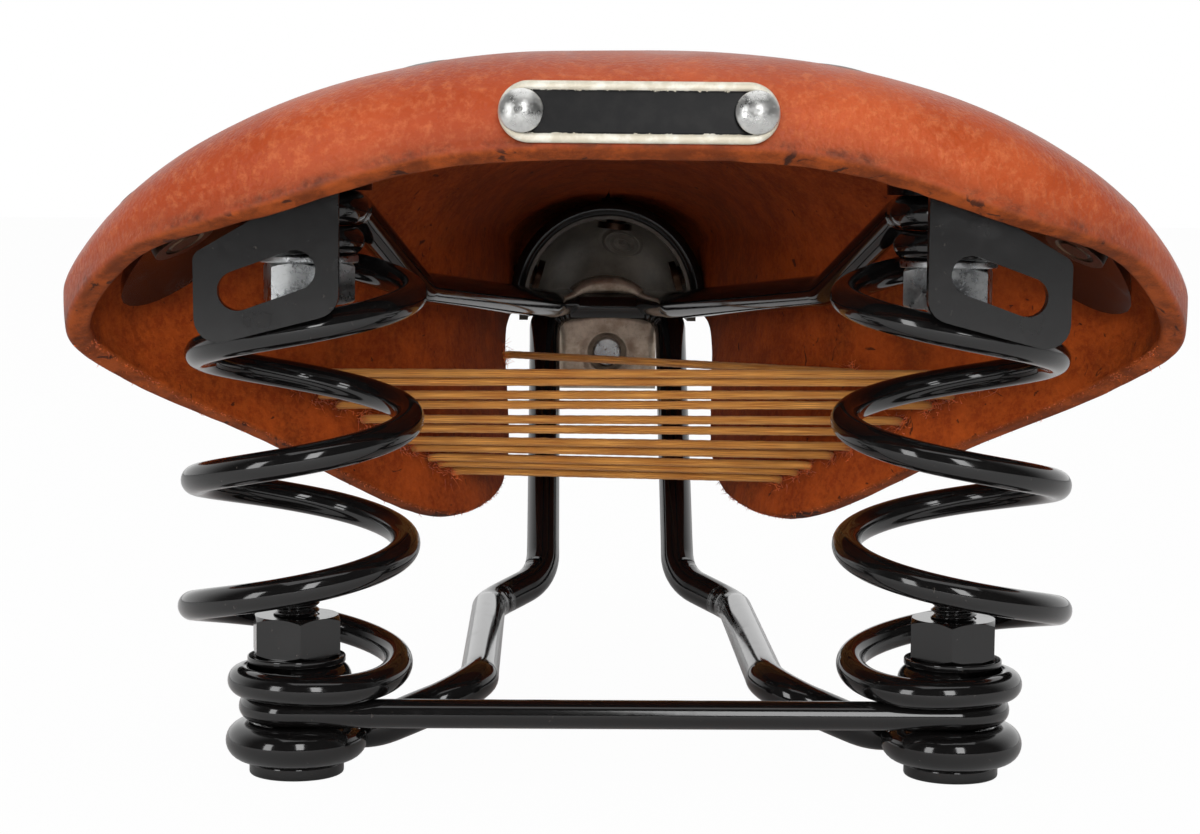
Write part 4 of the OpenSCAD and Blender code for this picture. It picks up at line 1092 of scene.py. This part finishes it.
def soft_light(name, azimuth, elevation, distance, width, height, watts):
    """Area light that faces the saddle; azimuth is 0 behind it and positive to its right."""
    a, e = math.radians(azimuth), math.radians(elevation)
    centre = Vector((0, 0, 0.05))
    way = Vector((math.sin(a) * math.cos(e), -math.cos(a) * math.cos(e), math.sin(e)))
    lamp = bpy.data.lights.new(name, "AREA")
    lamp.shape, lamp.size, lamp.size_y, lamp.energy = "RECTANGLE", width, height, watts
    obj = bpy.data.objects.new(name, lamp)
    bpy.context.scene.collection.objects.link(obj)
    obj.location = centre + way * distance
    obj.rotation_mode = "QUATERNION"
    obj.rotation_quaternion = (-way).to_track_quat("-Z", "Y")
    return obj


def rear_camera():
    """Camera behind the saddle, a little above its middle; lengths in millimetres, angles in degrees."""
    place_at, yaw, pitch, roll = np.array([-14.1, -505.2, 89.8]), 1.18, 5.19, -0.53
    data = bpy.data.cameras.new("camera")
    data.sensor_fit, data.sensor_width, data.lens = "HORIZONTAL", 36.0, 78.45
    data.clip_start, data.clip_end = 0.02, 60.0
    camera = bpy.data.objects.new("camera", data)
    bpy.context.scene.collection.objects.link(camera)
    yaw, pitch, roll = math.radians(yaw), math.radians(pitch), math.radians(roll)
    ahead = np.array([math.sin(yaw) * math.cos(pitch), math.cos(yaw) * math.cos(pitch), -math.sin(pitch)])
    right = np.array([math.cos(yaw), -math.sin(yaw), 0])
    down = np.cross(ahead, right)
    side = math.cos(roll) * right + math.sin(roll) * down
    under = -math.sin(roll) * right + math.cos(roll) * down
    turn = np.eye(4)
    turn[:3] = np.stack([side, -under, -ahead, place_at * MM], -1)
    camera.matrix_world = Matrix(turn.tolist())
    return camera


pale_room()
pale_floor(LOWER_HEAD_Z - 0.02)
soft_light("strip_left", azimuth=-43, elevation=4, distance=2.2, width=0.5, height=2.0, watts=15)
soft_light("strip_right", azimuth=9, elevation=22, distance=2.4, width=0.5, height=1.4, watts=13)
soft_light("overhead", azimuth=10, elevation=80, distance=1.8, width=1.6, height=1.6, watts=9)
fill = soft_light("rear_fill", azimuth=-3, elevation=9, distance=1.5, width=0.8, height=0.3, watts=11)
fill.visible_glossy = False
camera = rear_camera()
bpy.context.scene.camera = camera
bpy.context.scene.view_settings.view_transform = "Standard"
